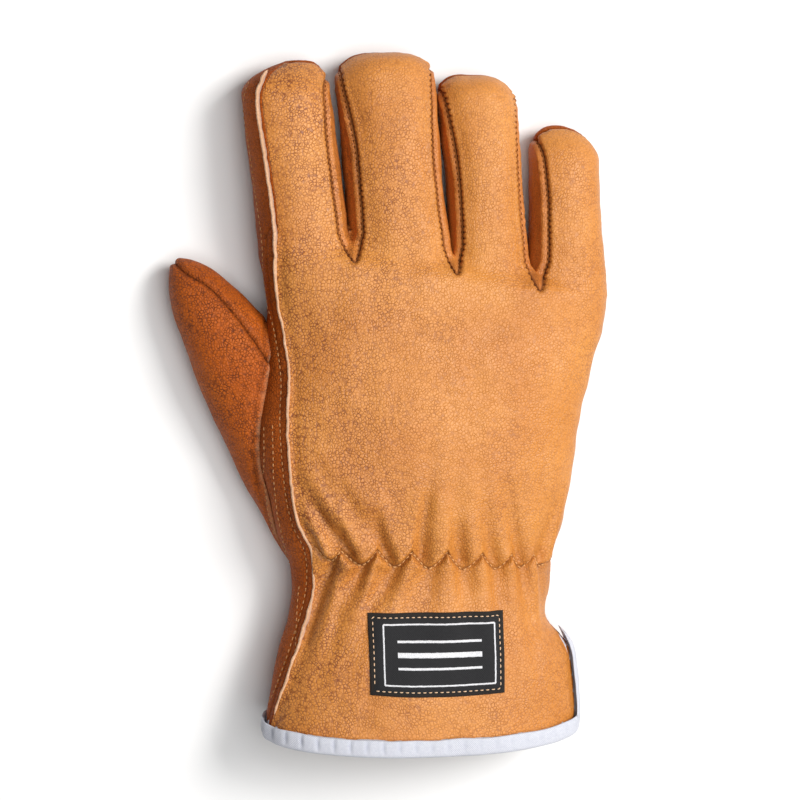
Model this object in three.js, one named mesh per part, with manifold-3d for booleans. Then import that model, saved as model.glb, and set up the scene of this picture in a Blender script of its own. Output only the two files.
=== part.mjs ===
// Insulated leather driver glove, right hand, lying on its palm.
// Units are millimetres. +Y runs to the fingertips, +X to the little finger, +Z is the back of the hand.
import * as THREE from "three";
import { mergeVertices } from "three/addons/utils/BufferGeometryUtils.js";
import Module from "manifold-3d";

// Hand and cuff, measured from the wrist gathers
const HAND_LENGTH = 106;
const PALM_WIDTH = 119.4;
const PALM_HEIGHT = 39.5;
const KNUCKLE_HEIGHT = 33;
const KNUCKLE_SLANT = 9;
const FORK_ROUND = 10;
const FORK_START = 3;
const FORK_LEAD = 4;
const WRIST_WIDTH = 93;
const WRIST_HEIGHT = 36;
const CUFF_LENGTH = 59.5;
const HEM_WIDTH = 113;
const HEM_HEIGHT = 45;
const HEM_LEAN = 5.5;
const REST_FLAT = 1.2;

// Fingers, each length from the knuckle line to the tip
const INDEX_LENGTH = 70.5;
const INDEX_WIDTH = 33;
const MIDDLE_LENGTH = 78;
const MIDDLE_WIDTH = 36;
const RING_LENGTH = 75;
const RING_WIDTH = 27.8;
const LITTLE_LENGTH = 61;
const LITTLE_WIDTH = 28.4;
const FINGER_HEIGHT = 31;
const FINGER_GAP = 0.6;
const FINGER_TIP_ROUND = 13;
const FINGER_ROOT_DEPTH = 14;
const MIDDLE_OFFSET = 10.8;

// Thumb, along its own axis from the wrist to the tip
const THUMB_LENGTH = 120.6;
const THUMB_WIDTH = 33;
const THUMB_HEIGHT = 24.5;
const THUMB_ANGLE = 22.8;
const THUMB_TIP_ROUND = 26;
const THUMB_OFFSET = 40;

// Leather, seams and trim
const WALL = 2.4;
const CLEARANCE = 0.3;
const POINTS_PER_TUCK = 3;
const PALM_POINTS = 10;
const PALM_SPREAD = 0.5;
const CUFF_OVERRUN = 5;
const CROTCH_NOSE = 4.5;
const SEAM_FLARE = 0.2;
const FLARE_START = 0.5;
const TUCK_COUNT = 8;
const TUCK_DEPTH = 1.1;
const TUCK_ZIGZAG = 2.6;
const GATHER_GROOVE = 1;
const GATHER_REACH_UP = 22;
const GATHER_REACH_DOWN = 15;
const WELT_WIDTH = 1.6;
const WELT_HEIGHT = 1.2;
const WELT_SHORT = 5.2;
const WELT_STEPS = 20;
const VENT_LENGTH = 29.5;
const VENT_GAP = 2.6;
const VENT_DEPTH = 15;
const BINDING_WIDTH = 6;
const BINDING_THICKNESS = 0.7;
const TAIL_LENGTH = 4;
const TAIL_WIDTH = 4.5;
const LABEL_WIDTH = 49;
const LABEL_HEIGHT = 29;
const LABEL_THICKNESS = 0.9;
const LABEL_ABOVE_HEM = 15.5;
const LABEL_OFFSET = 3;

const LEATHER_COLOUR = 0xd8944a;
const PALM_COLOUR = 0xb8702f;
const WELT_COLOUR = 0xe2b792;
const BINDING_COLOUR = 0xe9ebf2;
const LABEL_COLOUR = 0x17171a;

const SKEW_START = 0.7;
const HALF = 0.5;
const FAR = 400;
const BEYOND = 20;
const SLIVER = 0.01;
const MERGE_DISTANCE = 1e-4;
const ROUND_TIP = 2;

const wasm = await Module();
wasm.setup();

// A table's rows as objects, each value under its column's name.
function table(columns, rows) {
  return rows.map((row) => Object.fromEntries(columns.map((column, i) => [column, row[i]])));
}

// Sections of the hand and cuff. along is a share of the zone's length from the gathers, width, height and
// centre are shares of the zone's width and height, round is the exponent of the section's outline, lean is
// the share of HEM_LEAN, side the height of the little-finger-side seam as a share of the section's height,
// and raise how much of the binding's thickness lies under the section.
const ZONES = {
  cuff: { length: -CUFF_LENGTH, width: HEM_WIDTH, height: HEM_HEIGHT },
  wrist: { length: -CUFF_LENGTH, width: WRIST_WIDTH, height: WRIST_HEIGHT },
  hand: { length: HAND_LENGTH, width: PALM_WIDTH, height: PALM_HEIGHT },
  knuckle: { length: HAND_LENGTH, width: PALM_WIDTH, height: KNUCKLE_HEIGHT },
};
const HAND_SECTIONS = table(
  ["zone", "along", "width", "centre", "height", "round", "lean", "side", "raise"],
  [
    ["cuff", 1.1, 1.0, 0.0, 1.0, 2.1, 1.0, 0.5, 1],
    ["cuff", 0.9, 1.0, 0.002, 0.99, 2.1, 0.95, 0.5, 1],
    ["cuff", 0.69, 0.98, 0.007, 0.96, 2.1, 0.75, 0.5, 1],
    ["cuff", 0.51, 0.945, 0.012, 0.92, 2.1, 0.45, 0.49, 0.6],
    ["wrist", 0.33, 1.03, -0.006, 1.06, 2.15, 0.15, 0.48, 0.2],
    ["wrist", 0.15, 1.0, 0.0, 1.0, 2.2, 0.0, 0.46, 0],
    ["wrist", -0.03, 1.024, 0.0, 1.0, 2.2, 0.0, 0.45, 0],
    ["hand", 0.12, 0.88, 0.0, 0.95, 2.25, 0.0, 0.44, 0],
    ["hand", 0.225, 0.915, -0.004, 0.98, 2.3, 0.0, 0.43, 0],
    ["hand", 0.36, 0.96, -0.007, 1.0, 2.35, 0.0, 0.42, 0],
    ["hand", 0.5, 0.983, 0.002, 0.995, 2.35, 0.0, 0.42, 0],
    ["hand", 0.635, 0.997, 0.023, 0.97, 2.4, 0.0, 0.42, 0],
    ["hand", 0.77, 1.0, 0.04, 0.925, 2.4, 0.0, 0.42, 0],
    ["knuckle", 0.91, 1.02, 0.043, 1.04, 2.5, 0.0, 0.42, 0],
    ["knuckle", 1.03, 1.045, 0.036, 1.0, 2.6, 0.0, 0.42, 0],
  ],
);

// Sections along a finger. along runs from 0 at the knuckle line to 1 at the tip, width and height are shares
// of the finger's own and floor is the height of its underside as a share of its height.
const FINGER_SECTIONS = table(
  ["along", "width", "height", "floor"],
  [
    [-0.4, 0.6, 0.97, 0.02],
    [0.0, 1.0, 1.0, 0.03],
    [0.35, 1.0, 1.0, 0.07],
    [0.65, 1.0, 0.93, 0.06],
    [1.0, 1.0, 0.8, 0.0],
  ],
);
const FINGER_ROUND = 2.35;

// One row per finger. taper is the tip's width and tall its height, as shares of the root's width and of
// FINGER_HEIGHT, lean its angle towards the thumb side in degrees, hook how far the tip's end turns back
// towards the little finger as a share of its rounding, blunt the exponent of the tip's outline, left and right
// are the places of its back seams across its half width, and fork how far the fork beyond it stands above the
// knuckle line, as a share of CROTCH_NOSE.
const FINGERS = table(
  ["name", "length", "width", "taper", "tall", "lean", "hook", "blunt", "left", "right", "fork"],
  [
    ["index", INDEX_LENGTH, INDEX_WIDTH, 0.97, 0.97, 6.3, 0.42, 2, -0.72, 0.71, 0.22],
    ["middle", MIDDLE_LENGTH, MIDDLE_WIDTH, 0.98, 1.0, 5.1, 0.08, 3, -0.8, 0.78, 0.44],
    ["ring", RING_LENGTH, RING_WIDTH, 1.0, 0.96, 4.0, -0.12, 3, -0.78, 0.84, 0],
    ["little", LITTLE_LENGTH, LITTLE_WIDTH, 0.86, 0.88, 1.2, -0.23, 2, -0.65, 1.2, 0],
  ],
);

// Sections along the thumb, as shares of its length, width and height. offset moves it towards the hand.
const THUMB_SECTIONS = table(
  ["along", "width", "offset", "height"],
  [
    [-0.02, 0.4, 0.07, 0.8],
    [0.1, 0.64, 0.1, 0.84],
    [0.2, 0.79, 0.12, 0.86],
    [0.3, 0.91, 0.14, 0.85],
    [0.4, 0.97, 0.16, 0.87],
    [0.5, 1.0, 0.165, 0.93],
    [0.6, 1.0, 0.16, 1.0],
    [0.7, 0.97, 0.148, 1.0],
    [0.8, 0.92, 0.115, 0.95],
    [1.0, 0.8, 0.03, 0.86],
  ],
);
const THUMB_ROUND = 2.2;

// The thumb's long seam: across is its place as a share of the thumb's half width.
const THUMB_SEAM = table(
  ["along", "across"],
  [
    [1.1, -0.3],
    [0.97, -0.1],
    [0.9, 0.28],
    [0.8, 0.42],
    [0.7, 0.5],
    [0.6, 0.6],
    [0.5, 0.95],
    [0.35, 1.6],
  ],
);

// The index-side seam: across is its place as a share of the half width, of the hand below the knuckles and
// of the index finger above them.
const WELT_ON_HAND = table(
  ["along", "across"],
  [
    [-0.62, -0.99],
    [-0.53, -0.98],
    [-0.4, -0.935],
    [-0.26, -0.9],
    [-0.11, -0.88],
    [0.0, -0.85],
    [0.08, -0.82],
    [0.16, -0.845],
    [0.3, -0.845],
    [0.5, -0.85],
    [0.65, -0.87],
    [0.8, -0.92],
    [0.95, -0.94],
  ],
);
const WELT_ON_INDEX = table(
  ["along", "across"],
  [
    [0.1, -0.68],
    [0.35, -0.71],
    [0.6, -0.735],
    [0.8, -0.74],
    [0.9, -0.64],
    [1.05, -0.45],
  ],
);

// A smooth curve through the rows of a table: the value of one column at a place along another.
function through(rows, key, column, place) {
  const last = rows.length - 1;
  if (place <= rows[0][key]) return rows[0][column];
  if (place >= rows[last][key]) return rows[last][column];
  const next = rows.findIndex((row) => row[key] > place);
  const slope = (i) => {
    const low = rows[Math.max(i - 1, 0)];
    const high = rows[Math.min(i + 1, last)];
    return (high[column] - low[column]) / (high[key] - low[key]);
  };
  const a = rows[next - 1];
  const b = rows[next];
  const span = b[key] - a[key];
  const t = (place - a[key]) / span;
  const rise = b[column] - a[column];
  const startSlope = slope(next - 1) * span;
  const endSlope = slope(next) * span;
  const cubic = startSlope + endSlope - 2 * rise;
  const square = 3 * rise - 2 * startSlope - endSlope;
  return a[column] + t * (startSlope + t * (square + t * cubic));
}

// The tables' rows in millimetres.
const handRows = HAND_SECTIONS.map((row) => {
  const zone = ZONES[row.zone];
  return {
    y: row.along * zone.length,
    half: row.width * zone.width * HALF,
    centre: row.centre * zone.width,
    top: row.height * zone.height,
    side: row.side * row.height * zone.height,
    round: row.round,
    lean: row.lean * HEM_LEAN,
    rest: row.raise * (CLEARANCE + BINDING_THICKNESS),
  };
});

// The hand's section at a place y from the gathers.
function handSection(y) {
  const value = (column) => through(handRows, "y", column, y);
  return {
    y,
    half: value("half"),
    centre: value("centre"),
    top: value("top"),
    floor: value("rest") - REST_FLAT,
    rest: value("rest"),
    side: value("side"),
    round: value("round"),
    lean: value("lean"),
  };
}

// Each finger stands beside its neighbour with the same gap, spread from the middle finger.
const knuckleSlope = KNUCKLE_SLANT / (PALM_WIDTH * HALF);
const knuckleLine = (x) => HAND_LENGTH - knuckleSlope * x;
const middleRoot = handSection(HAND_LENGTH).centre - MIDDLE_OFFSET;
const fingerRoots = FINGERS.map((finger, i) => {
  const middle = FINGERS.findIndex((other) => other.name === "middle");
  let x = middleRoot;
  for (let k = Math.min(i, middle); k < Math.max(i, middle); k++) {
    const step = (FINGERS[k].width + FINGERS[k + 1].width) * HALF + FINGER_GAP;
    x += i < middle ? -step : step;
  }
  return x;
});
const fingers = FINGERS.map((finger, i) => {
  const x = fingerRoots[i];
  return { ...finger, x, y: knuckleLine(x) };
});

// A finger's section at a share of its length, before its tip is rounded.
function fingerSection(finger, along) {
  const value = (column) => through(FINGER_SECTIONS, "along", column, along);
  const reach = along * finger.length;
  const tipLine = 1 - FINGER_TIP_ROUND / finger.length;
  const turned = Math.max(0, (along - tipLine) / (1 - tipLine));
  const width = THREE.MathUtils.lerp(1, finger.taper, THREE.MathUtils.clamp(along, 0, 1));
  const height = FINGER_HEIGHT * finger.tall;
  return {
    y: finger.y + reach,
    half: finger.width * HALF * width * value("width"),
    centre: finger.x - reach * Math.tan(THREE.MathUtils.degToRad(finger.lean)) + finger.hook * FINGER_TIP_ROUND * turned ** 2,
    top: value("height") * height,
    floor: value("floor") * height - REST_FLAT,
    round: FINGER_ROUND,
    lean: 0,
  };
}

// The height of a section's upper outline at a place across it.
function outlineHeight(section, x) {
  const share = Math.min(1, Math.abs(x - section.centre) / section.half);
  const mid = (section.top + section.floor) * HALF;
  const rise = (section.top - section.floor) * HALF;
  return mid + rise * (1 - share ** section.round) ** (1 / section.round);
}

// The wrist's tucks: a wave across the back that starts at the welt and ends over the little-finger side.
const TUCK_FIRST = THREE.MathUtils.degToRad(139);
const TUCK_LAST = THREE.MathUtils.degToRad(12);
const tuckPitch = (TUCK_FIRST - TUCK_LAST) / TUCK_COUNT;
function tuckWave(angle) {
  if (angle < TUCK_LAST || angle > TUCK_FIRST) return 0;
  return -Math.cos((2 * Math.PI * (TUCK_FIRST - angle)) / tuckPitch);
}
const tucked = (angle) => (angle > TUCK_LAST && angle < TUCK_FIRST ? 1 : 0);

// How far the gathers move the back's surface out at a distance above or below their stitch line.
function gatherLift(angle, y) {
  const reach = y > 0 ? GATHER_REACH_UP : -GATHER_REACH_DOWN;
  const fade = Math.exp(-y / reach);
  const ridge = y > 0 ? TUCK_DEPTH : -TUCK_DEPTH;
  const line = Math.exp(-((y / (2 * TUCK_ZIGZAG)) ** 2));
  const near = 1 - Math.exp(-Math.abs(y) / TUCK_ZIGZAG);
  return tuckWave(angle) * ridge * fade * near - GATHER_GROOVE * tucked(angle) * line;
}
const gatherShift = (angle, y) => -tuckWave(angle) * TUCK_ZIGZAG * Math.exp(-Math.abs(y) / GATHER_REACH_DOWN);

// A point on a section's outline at an angle from the little-finger side, grown outwards by a distance.
function outlinePoint(section, angle, grow) {
  const power = 2 / section.round;
  const cos = Math.cos(angle);
  const sin = Math.sin(angle);
  const mid = (section.top + section.floor) * HALF;
  const rise = (section.top - section.floor) * HALF;
  const across = Math.sign(cos) * Math.abs(cos) ** power;
  const up = Math.sign(sin) * Math.abs(sin) ** power;
  return { across: across * (section.half + grow), z: mid + up * (rise + grow), up };
}

// How far a point of the hand lies below its section's place, so that the far end follows the knuckles.
function knuckleSkew(across, y) {
  return knuckleSlope * across * THREE.MathUtils.smoothstep(y, HAND_LENGTH * SKEW_START, HAND_LENGTH);
}

// Angles round the hand's section: close together over the gathered back, wide apart under the flat palm.
const handAngles = [];
for (let i = 0; i <= TUCK_COUNT * POINTS_PER_TUCK; i++) {
  handAngles.push(TUCK_LAST + (i * tuckPitch) / POINTS_PER_TUCK);
}
for (let i = 1; i < PALM_POINTS; i++) {
  const share = i / PALM_POINTS;
  const spread = share - (PALM_SPREAD / (2 * Math.PI)) * Math.sin(2 * Math.PI * share);
  handAngles.push(TUCK_FIRST + spread * (2 * Math.PI - TUCK_FIRST + TUCK_LAST));
}

// One ring of a hand-shaped loft.
function handRing(section, grow, gathered) {
  return handAngles.map((angle) => {
    const lift = gathered ? gatherLift(angle, section.y) : 0;
    const shift = gathered ? gatherShift(angle, section.y) : 0;
    const point = outlinePoint(section, angle, grow + lift);
    const skew = knuckleSkew(point.across, section.y);
    return new THREE.Vector3(
      section.centre + point.across,
      section.y + shift - section.lean * point.up - skew,
      Math.max(point.z, section.rest - grow),
    );
  });
}

const evenAngles = (count) => Array.from({ length: count }, (_, i) => (2 * Math.PI * i) / count);

// A closed solid through rings that follow one another towards the fingertips.
function loft(rings) {
  const count = rings[0].length;
  const positions = rings.flatMap((ring) => ring.flatMap((point) => point.toArray()));
  const index = [];
  for (let r = 0; r < rings.length - 1; r++)
    for (let i = 0; i < count; i++) {
      const a = r * count + i;
      const b = r * count + ((i + 1) % count);
      index.push(a, a + count, b + count, a, b + count, b);
    }
  const centreOf = (ring) => ring.reduce((sum, p) => sum.add(p), new THREE.Vector3()).divideScalar(count);
  const ends = [rings[0], rings[rings.length - 1]];
  ends.forEach((ring) => positions.push(...centreOf(ring).toArray()));
  const first = rings.length * count;
  const lastRing = first - count;
  for (let i = 0; i < count; i++) {
    const j = (i + 1) % count;
    index.push(first, i, j);
    index.push(first + 1, lastRing + j, lastRing + i);
  }
  const geometry = new THREE.BufferGeometry();
  geometry.setAttribute("position", new THREE.Float32BufferAttribute(positions, 3));
  geometry.setIndex(index);
  return solidOf(geometry);
}

function solidOf(geometry) {
  const bare = geometry.clone();
  bare.deleteAttribute("normal");
  bare.deleteAttribute("uv");
  const merged = mergeVertices(bare, MERGE_DISTANCE);
  const vertProperties = new Float32Array(merged.attributes.position.array);
  const triVerts = new Uint32Array(merged.index.array);
  return new wasm.Manifold(new wasm.Mesh({ numProp: 3, vertProperties, triVerts }));
}

// An upright prism over a plan outline, from a low to a high level.
function prism(outline, low, high) {
  const shape = new THREE.Shape(outline);
  const geometry = new THREE.ExtrudeGeometry(shape, { depth: high - low, bevelEnabled: false });
  geometry.translate(0, 0, low);
  return solidOf(geometry);
}

// Stations along the hand: even over the cuff and the hand, close together round the gathers. Every solid of
// the hand and cuff has its sections at the same stations, so that their faces run side by side.
const GATHER_STATIONS = [0.09, 0.23, 0.45, 0.82].map((share) => share * GATHER_REACH_UP);
const CUFF_STEP = 12;
const HAND_STEP = 20;
const gatherEnd = GATHER_STATIONS[GATHER_STATIONS.length - 1];
const evenStations = [0, gatherEnd];
for (let y = CUFF_STEP - CUFF_LENGTH; y < -gatherEnd; y += CUFF_STEP) evenStations.push(y);
for (let y = gatherEnd + HAND_STEP; y < HAND_LENGTH; y += HAND_STEP) evenStations.push(y);
const closeStations = GATHER_STATIONS.flatMap((y) => [-y, y]).filter((y) => y !== gatherEnd);
function handStations(start, end, gathered) {
  const places = gathered ? [...evenStations, ...closeStations] : evenStations;
  const inside = places.filter((y) => y > start && y < end - 1);
  return [start, ...inside.sort((a, b) => a - b), end];
}

// The hand and cuff as one solid: its far end rounds over at the finger forks.
const FORK_SHARES = [0, 0.6, 0.95];
function handSolid({ grow = 0, hem = -CUFF_LENGTH, gathered = true }) {
  const forkStart = HAND_LENGTH - FORK_START;
  const stations = handStations(hem, forkStart - FORK_LEAD, gathered);
  const rings = stations.map((y) => handRing(handSection(y), grow, gathered));
  FORK_SHARES.forEach((share) => {
    const section = handSection(forkStart + (FORK_ROUND + grow) * share);
    const mid = (section.top + section.floor) * HALF;
    const shrunk = tipShare(share, ROUND_TIP);
    const inset = section.half - (1 - shrunk) * FORK_ROUND * HALF;
    const closed = {
      ...section,
      half: inset,
      top: mid + (section.top + grow - mid) * shrunk - grow,
      floor: mid + (section.floor - grow - mid) * shrunk + grow,
    };
    rings.push(handRing(closed, grow, gathered));
  });
  return loft(rings);
}

// What is left of a section's size at a share of the way through a rounded tip.
const tipShare = (share, blunt) => Math.max(0, 1 - share ** blunt) ** (1 / blunt);

// One finger as a solid with a rounded tip.
const TIP_SHARES = [0, 0.45, 0.72, 0.9, 0.985];
const INNER_TIP_SHARES = [0, 0.6, 0.9];
function fingerSolid(finger, { grow = 0, sides = 14, steps = 5, tips = TIP_SHARES }) {
  const angles = evenAngles(sides);
  const tipStart = finger.length - FINGER_TIP_ROUND;
  const rings = [];
  const ring = (section, shrunk) => {
    const mid = Math.max((section.top + section.floor) * HALF, 0);
    return angles.map((angle) => {
      const point = outlinePoint(section, angle, grow);
      const z = Math.max(mid + (point.z - mid) * shrunk, -grow);
      return new THREE.Vector3(section.centre + point.across * shrunk, section.y, z);
    });
  };
  for (let i = 0; i < steps; i++) {
    const reach = THREE.MathUtils.lerp(-FINGER_ROOT_DEPTH, tipStart, i / steps);
    rings.push(ring(fingerSection(finger, reach / finger.length), 1));
  }
  tips.forEach((share) => {
    const reach = tipStart + (FINGER_TIP_ROUND + grow) * share;
    const section = fingerSection(finger, Math.min(reach / finger.length, 1));
    section.y = finger.y + reach;
    rings.push(ring(section, tipShare(share, finger.blunt)));
  });
  return loft(rings);
}

// The thumb's axis in plan: from beside the wrist out to the tip.
const thumbAngle = THREE.MathUtils.degToRad(THUMB_ANGLE);
const thumbForward = new THREE.Vector3(-Math.sin(thumbAngle), Math.cos(thumbAngle), 0);
const thumbAcross = new THREE.Vector3(Math.cos(thumbAngle), Math.sin(thumbAngle), 0);
const thumbBase = new THREE.Vector3(handSection(0).centre - THUMB_OFFSET, 0, 0);

// A point of the thumb's plan at a share of its length and a distance across.
function thumbPlan(reach, across) {
  return thumbBase.clone().addScaledVector(thumbForward, reach).addScaledVector(thumbAcross, across);
}

function thumbSection(along) {
  const value = (column) => through(THUMB_SECTIONS, "along", column, along);
  return {
    half: value("width") * THUMB_WIDTH * HALF,
    centre: value("offset") * THUMB_WIDTH,
    top: value("height") * THUMB_HEIGHT,
    floor: -REST_FLAT,
    round: THUMB_ROUND,
  };
}

function thumbSolid({ grow = 0, sides = 16, steps = 7, tips = TIP_SHARES, start = 0 }) {
  const angles = evenAngles(sides);
  const tipStart = THUMB_LENGTH - THUMB_TIP_ROUND;
  const rings = [];
  const ring = (reach, shrunk) => {
    const section = thumbSection(Math.min(reach / THUMB_LENGTH, 1));
    const mid = (section.top + section.floor) * HALF;
    return angles.map((angle) => {
      const point = outlinePoint(section, angle, grow);
      const plan = thumbPlan(reach, section.centre + point.across * shrunk);
      plan.z = Math.max(mid + (point.z - mid) * shrunk, -grow);
      return plan;
    });
  };
  for (let i = 0; i < steps; i++) rings.push(ring(THREE.MathUtils.lerp(start, tipStart, i / steps), 1));
  tips.forEach((share) =>
    rings.push(ring(tipStart + (THUMB_TIP_ROUND + grow) * share, tipShare(share, ROUND_TIP))),
  );
  return loft(rings);
}

// The index-side seam in plan, from beyond the hem to beyond the index fingertip.
const index = fingers[0];
const weltPoints = [
  ...WELT_ON_HAND.map((row) => {
    const section = handSection(row.along * HAND_LENGTH);
    return new THREE.Vector2(section.centre + row.across * section.half, section.y);
  }),
  ...WELT_ON_INDEX.map((row) => {
    const section = fingerSection(index, row.along);
    return new THREE.Vector2(section.centre + row.across * section.half, section.y);
  }),
];
const weltRows = weltPoints.map((point) => ({ x: point.x, y: point.y }));
const weltX = (y) => through(weltRows, "y", "x", y);

// The index finger's section at a place along the hand, with its tip rounded.
function indexSection(y) {
  const section = fingerSection(index, Math.min((y - index.y) / index.length, 1));
  const past = Math.max(0, (y - index.y - index.length + FINGER_TIP_ROUND) / FINGER_TIP_ROUND);
  const shrunk = tipShare(past, index.blunt);
  const mid = (section.top + section.floor) * HALF;
  return {
    ...section,
    half: Math.max(section.half * shrunk, SLIVER),
    top: mid + (section.top - mid) * shrunk,
    floor: mid + (section.floor - mid) * shrunk,
  };
}

// The leather's section that stands highest at the index-side seam.
function weltSection(y) {
  const x = weltX(y);
  const finger = indexSection(y);
  const across = x - handSection(y).centre;
  const hand = handSection(y + knuckleSkew(across, y));
  if (y > HAND_LENGTH + FORK_ROUND) return finger;
  return y > index.y - FINGER_ROOT_DEPTH && outlineHeight(finger, x) > outlineHeight(hand, x) ? finger : hand;
}
const weltHeight = (y) => outlineHeight(weltSection(y), weltX(y));

const PARTING_STEPS = 16;
// Everything under the seam that parts the back from the palm, moved up or down by half the gap.
function palmSide(offset) {
  const low = -BEYOND;
  const rings = [];
  const start = -CUFF_LENGTH - BEYOND;
  const end = index.y + MIDDLE_LENGTH + BEYOND;
  for (let i = 0; i <= PARTING_STEPS; i++) {
    const y = THREE.MathUtils.lerp(start, end, i / PARTING_STEPS);
    const section = handSection(y);
    const high = weltHeight(y) + offset;
    const side = section.side + offset;
    rings.push([
      new THREE.Vector3(FAR, y, low),
      new THREE.Vector3(FAR, y, side),
      new THREE.Vector3(weltX(y) + INDEX_WIDTH * HALF, y, side),
      new THREE.Vector3(weltX(y), y, high),
      new THREE.Vector3(-FAR, y, high),
      new THREE.Vector3(-FAR, y, low),
    ]);
  }
  return loft(rings);
}

// The plan outline of the strip between two fingers, from the fork to past their tips.
const FORK_NOSE = [0.1, 0.35, 0.7, 1];
const FORK_STEPS = 6;
function forkOutline(left, right, widen) {
  const seam = (finger, share, y) => {
    const along = Math.min((y - finger.y) / finger.length, 1);
    const section = fingerSection(finger, along);
    const flare = 1 + SEAM_FLARE * THREE.MathUtils.smoothstep(along, FLARE_START, 1);
    return section.centre + share * flare * section.half;
  };
  const forkX = (left.x + left.width * HALF + right.x - right.width * HALF) * HALF;
  const forkY = knuckleLine(forkX) + left.fork * CROTCH_NOSE;
  const end = Math.max(left.y + left.length, right.y + right.length) + BEYOND;
  const lefts = [];
  const rights = [];
  const places = FORK_NOSE.map((share) => share * CROTCH_NOSE);
  for (let i = 1; i <= FORK_STEPS; i++) {
    places.push(THREE.MathUtils.lerp(CROTCH_NOSE, end - forkY, i / FORK_STEPS));
  }
  places.forEach((reach) => {
    const y = forkY + reach;
    const open = Math.sqrt(1 - (1 - Math.min(reach / CROTCH_NOSE, 1)) ** 2);
    const a = seam(left, left.right, y);
    const b = seam(right, right.left, y);
    const mid = (a + b) * HALF;
    const wide = Math.max((b - a) * HALF, FINGER_GAP) * open + widen;
    lefts.push(new THREE.Vector2(mid - wide, y));
    rights.push(new THREE.Vector2(mid + wide, y));
  });
  const apex = (seam(left, left.right, forkY) + seam(right, right.left, forkY)) * HALF;
  rights.unshift(new THREE.Vector2(apex, forkY - widen));
  return [...rights, ...lefts.reverse()];
}

// A stretch of the cuff as a solid, from one place to another along the hand.
function cuffSolid(grow, start, end, gathered) {
  return loft(handStations(start, end, gathered).map((y) => handRing(handSection(y), grow, gathered)));
}

const VENT_STEPS = 4;
// The space of the side vent, or of its binding, from beyond the hem to a length above it.
function ventSolid(halfHeight, length) {
  const low = -CUFF_LENGTH - BEYOND * HALF;
  const high = -CUFF_LENGTH + length;
  const rings = Array.from({ length: VENT_STEPS + 1 }, (_, i) => {
    const section = handSection(THREE.MathUtils.lerp(low, high, i / VENT_STEPS));
    const right = section.centre + section.half;
    return [
      new THREE.Vector3(right + BEYOND, section.y, section.side - halfHeight),
      new THREE.Vector3(right + BEYOND, section.y, section.side + halfHeight),
      new THREE.Vector3(right - VENT_DEPTH, section.y, section.side + halfHeight),
      new THREE.Vector3(right - VENT_DEPTH, section.y, section.side - halfHeight),
    ];
  });
  return loft(rings);
}

// The tape round the hem and the vent: a channel with its flanges outside and inside the leather, and a loose
// end above the vent.
function bindingSolid() {
  const proud = CLEARANCE + BINDING_THICKNESS;
  const hem = -CUFF_LENGTH;
  const band = hem - proud + BINDING_WIDTH;
  const arm = VENT_LENGTH + BINDING_WIDTH * HALF;
  const top = hem + arm + TAIL_LENGTH;
  const past = hem - CUFF_OVERRUN;
  const sleeve = (outside, inside, low, high) => {
    const core = cuffSolid(inside, low - CUFF_OVERRUN, high + CUFF_OVERRUN, false);
    return cuffSolid(outside, low, high, true).subtract(core);
  };
  const tape = sleeve(proud, -WALL - proud, hem - proud, top);
  const ring = cuffSolid(CUFF_OVERRUN, past, band, false);
  const arms = ventSolid(VENT_GAP * HALF + BINDING_WIDTH, arm);
  const skin = cuffSolid(-WALL * HALF, past, top + CUFF_OVERRUN, false);
  const tail = ventSolid(TAIL_WIDTH * HALF, arm + TAIL_LENGTH).subtract(skin);
  const leather = sleeve(CLEARANCE, -WALL - CLEARANCE, hem - CLEARANCE, top + CUFF_OVERRUN);
  const edge = ventSolid(VENT_GAP * HALF - CLEARANCE, VENT_LENGTH - CLEARANCE);
  const opening = ventSolid(VENT_GAP * HALF - proud, VENT_LENGTH - proud);
  return tape.intersect(joined([ring, arms, tail])).subtract(leather.subtract(edge)).subtract(opening);
}

const handOuter = handSolid({});
const handInner = handSolid({ grow: -WALL, hem: -CUFF_LENGTH - CUFF_OVERRUN, gathered: false });
const fingersOuter = fingers.map((finger) => fingerSolid(finger, {}));
const lining = { grow: -WALL, sides: 10, tips: INNER_TIP_SHARES };
const fingersInner = fingers.map((finger) => fingerSolid(finger, { ...lining, steps: 3 }));
const thumbOuter = thumbSolid({});
const thumbInner = thumbSolid({ ...lining, steps: 5, start: 2 * WALL });

const joined = (solids) => solids.reduce((sum, solid) => sum.add(solid));
const outer = joined([handOuter, ...fingersOuter]);
const cavity = joined([handInner, ...fingersInner]);
const shell = outer.subtract(cavity).subtract(thumbInner);

const gapHalf = CLEARANCE * HALF;
const forks = fingers.slice(0, -1).map((finger, i) => ({
  name: `fourchette_${finger.name}_${fingers[i + 1].name}`,
  inside: prism(forkOutline(finger, fingers[i + 1], -gapHalf), -FAR, FAR),
  around: prism(forkOutline(finger, fingers[i + 1], gapHalf), -FAR, FAR),
}));
const fourchettes = forks.map((fork) => ({ name: fork.name, solid: shell.intersect(fork.inside) }));
const panels = forks.reduce((rest, fork) => rest.subtract(fork.around), shell);
const vent = ventSolid(VENT_GAP * HALF, VENT_LENGTH);
const backPanel = panels.subtract(palmSide(gapHalf)).subtract(vent);
const palmPanel = panels.intersect(palmSide(-gapHalf)).subtract(vent);

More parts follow.
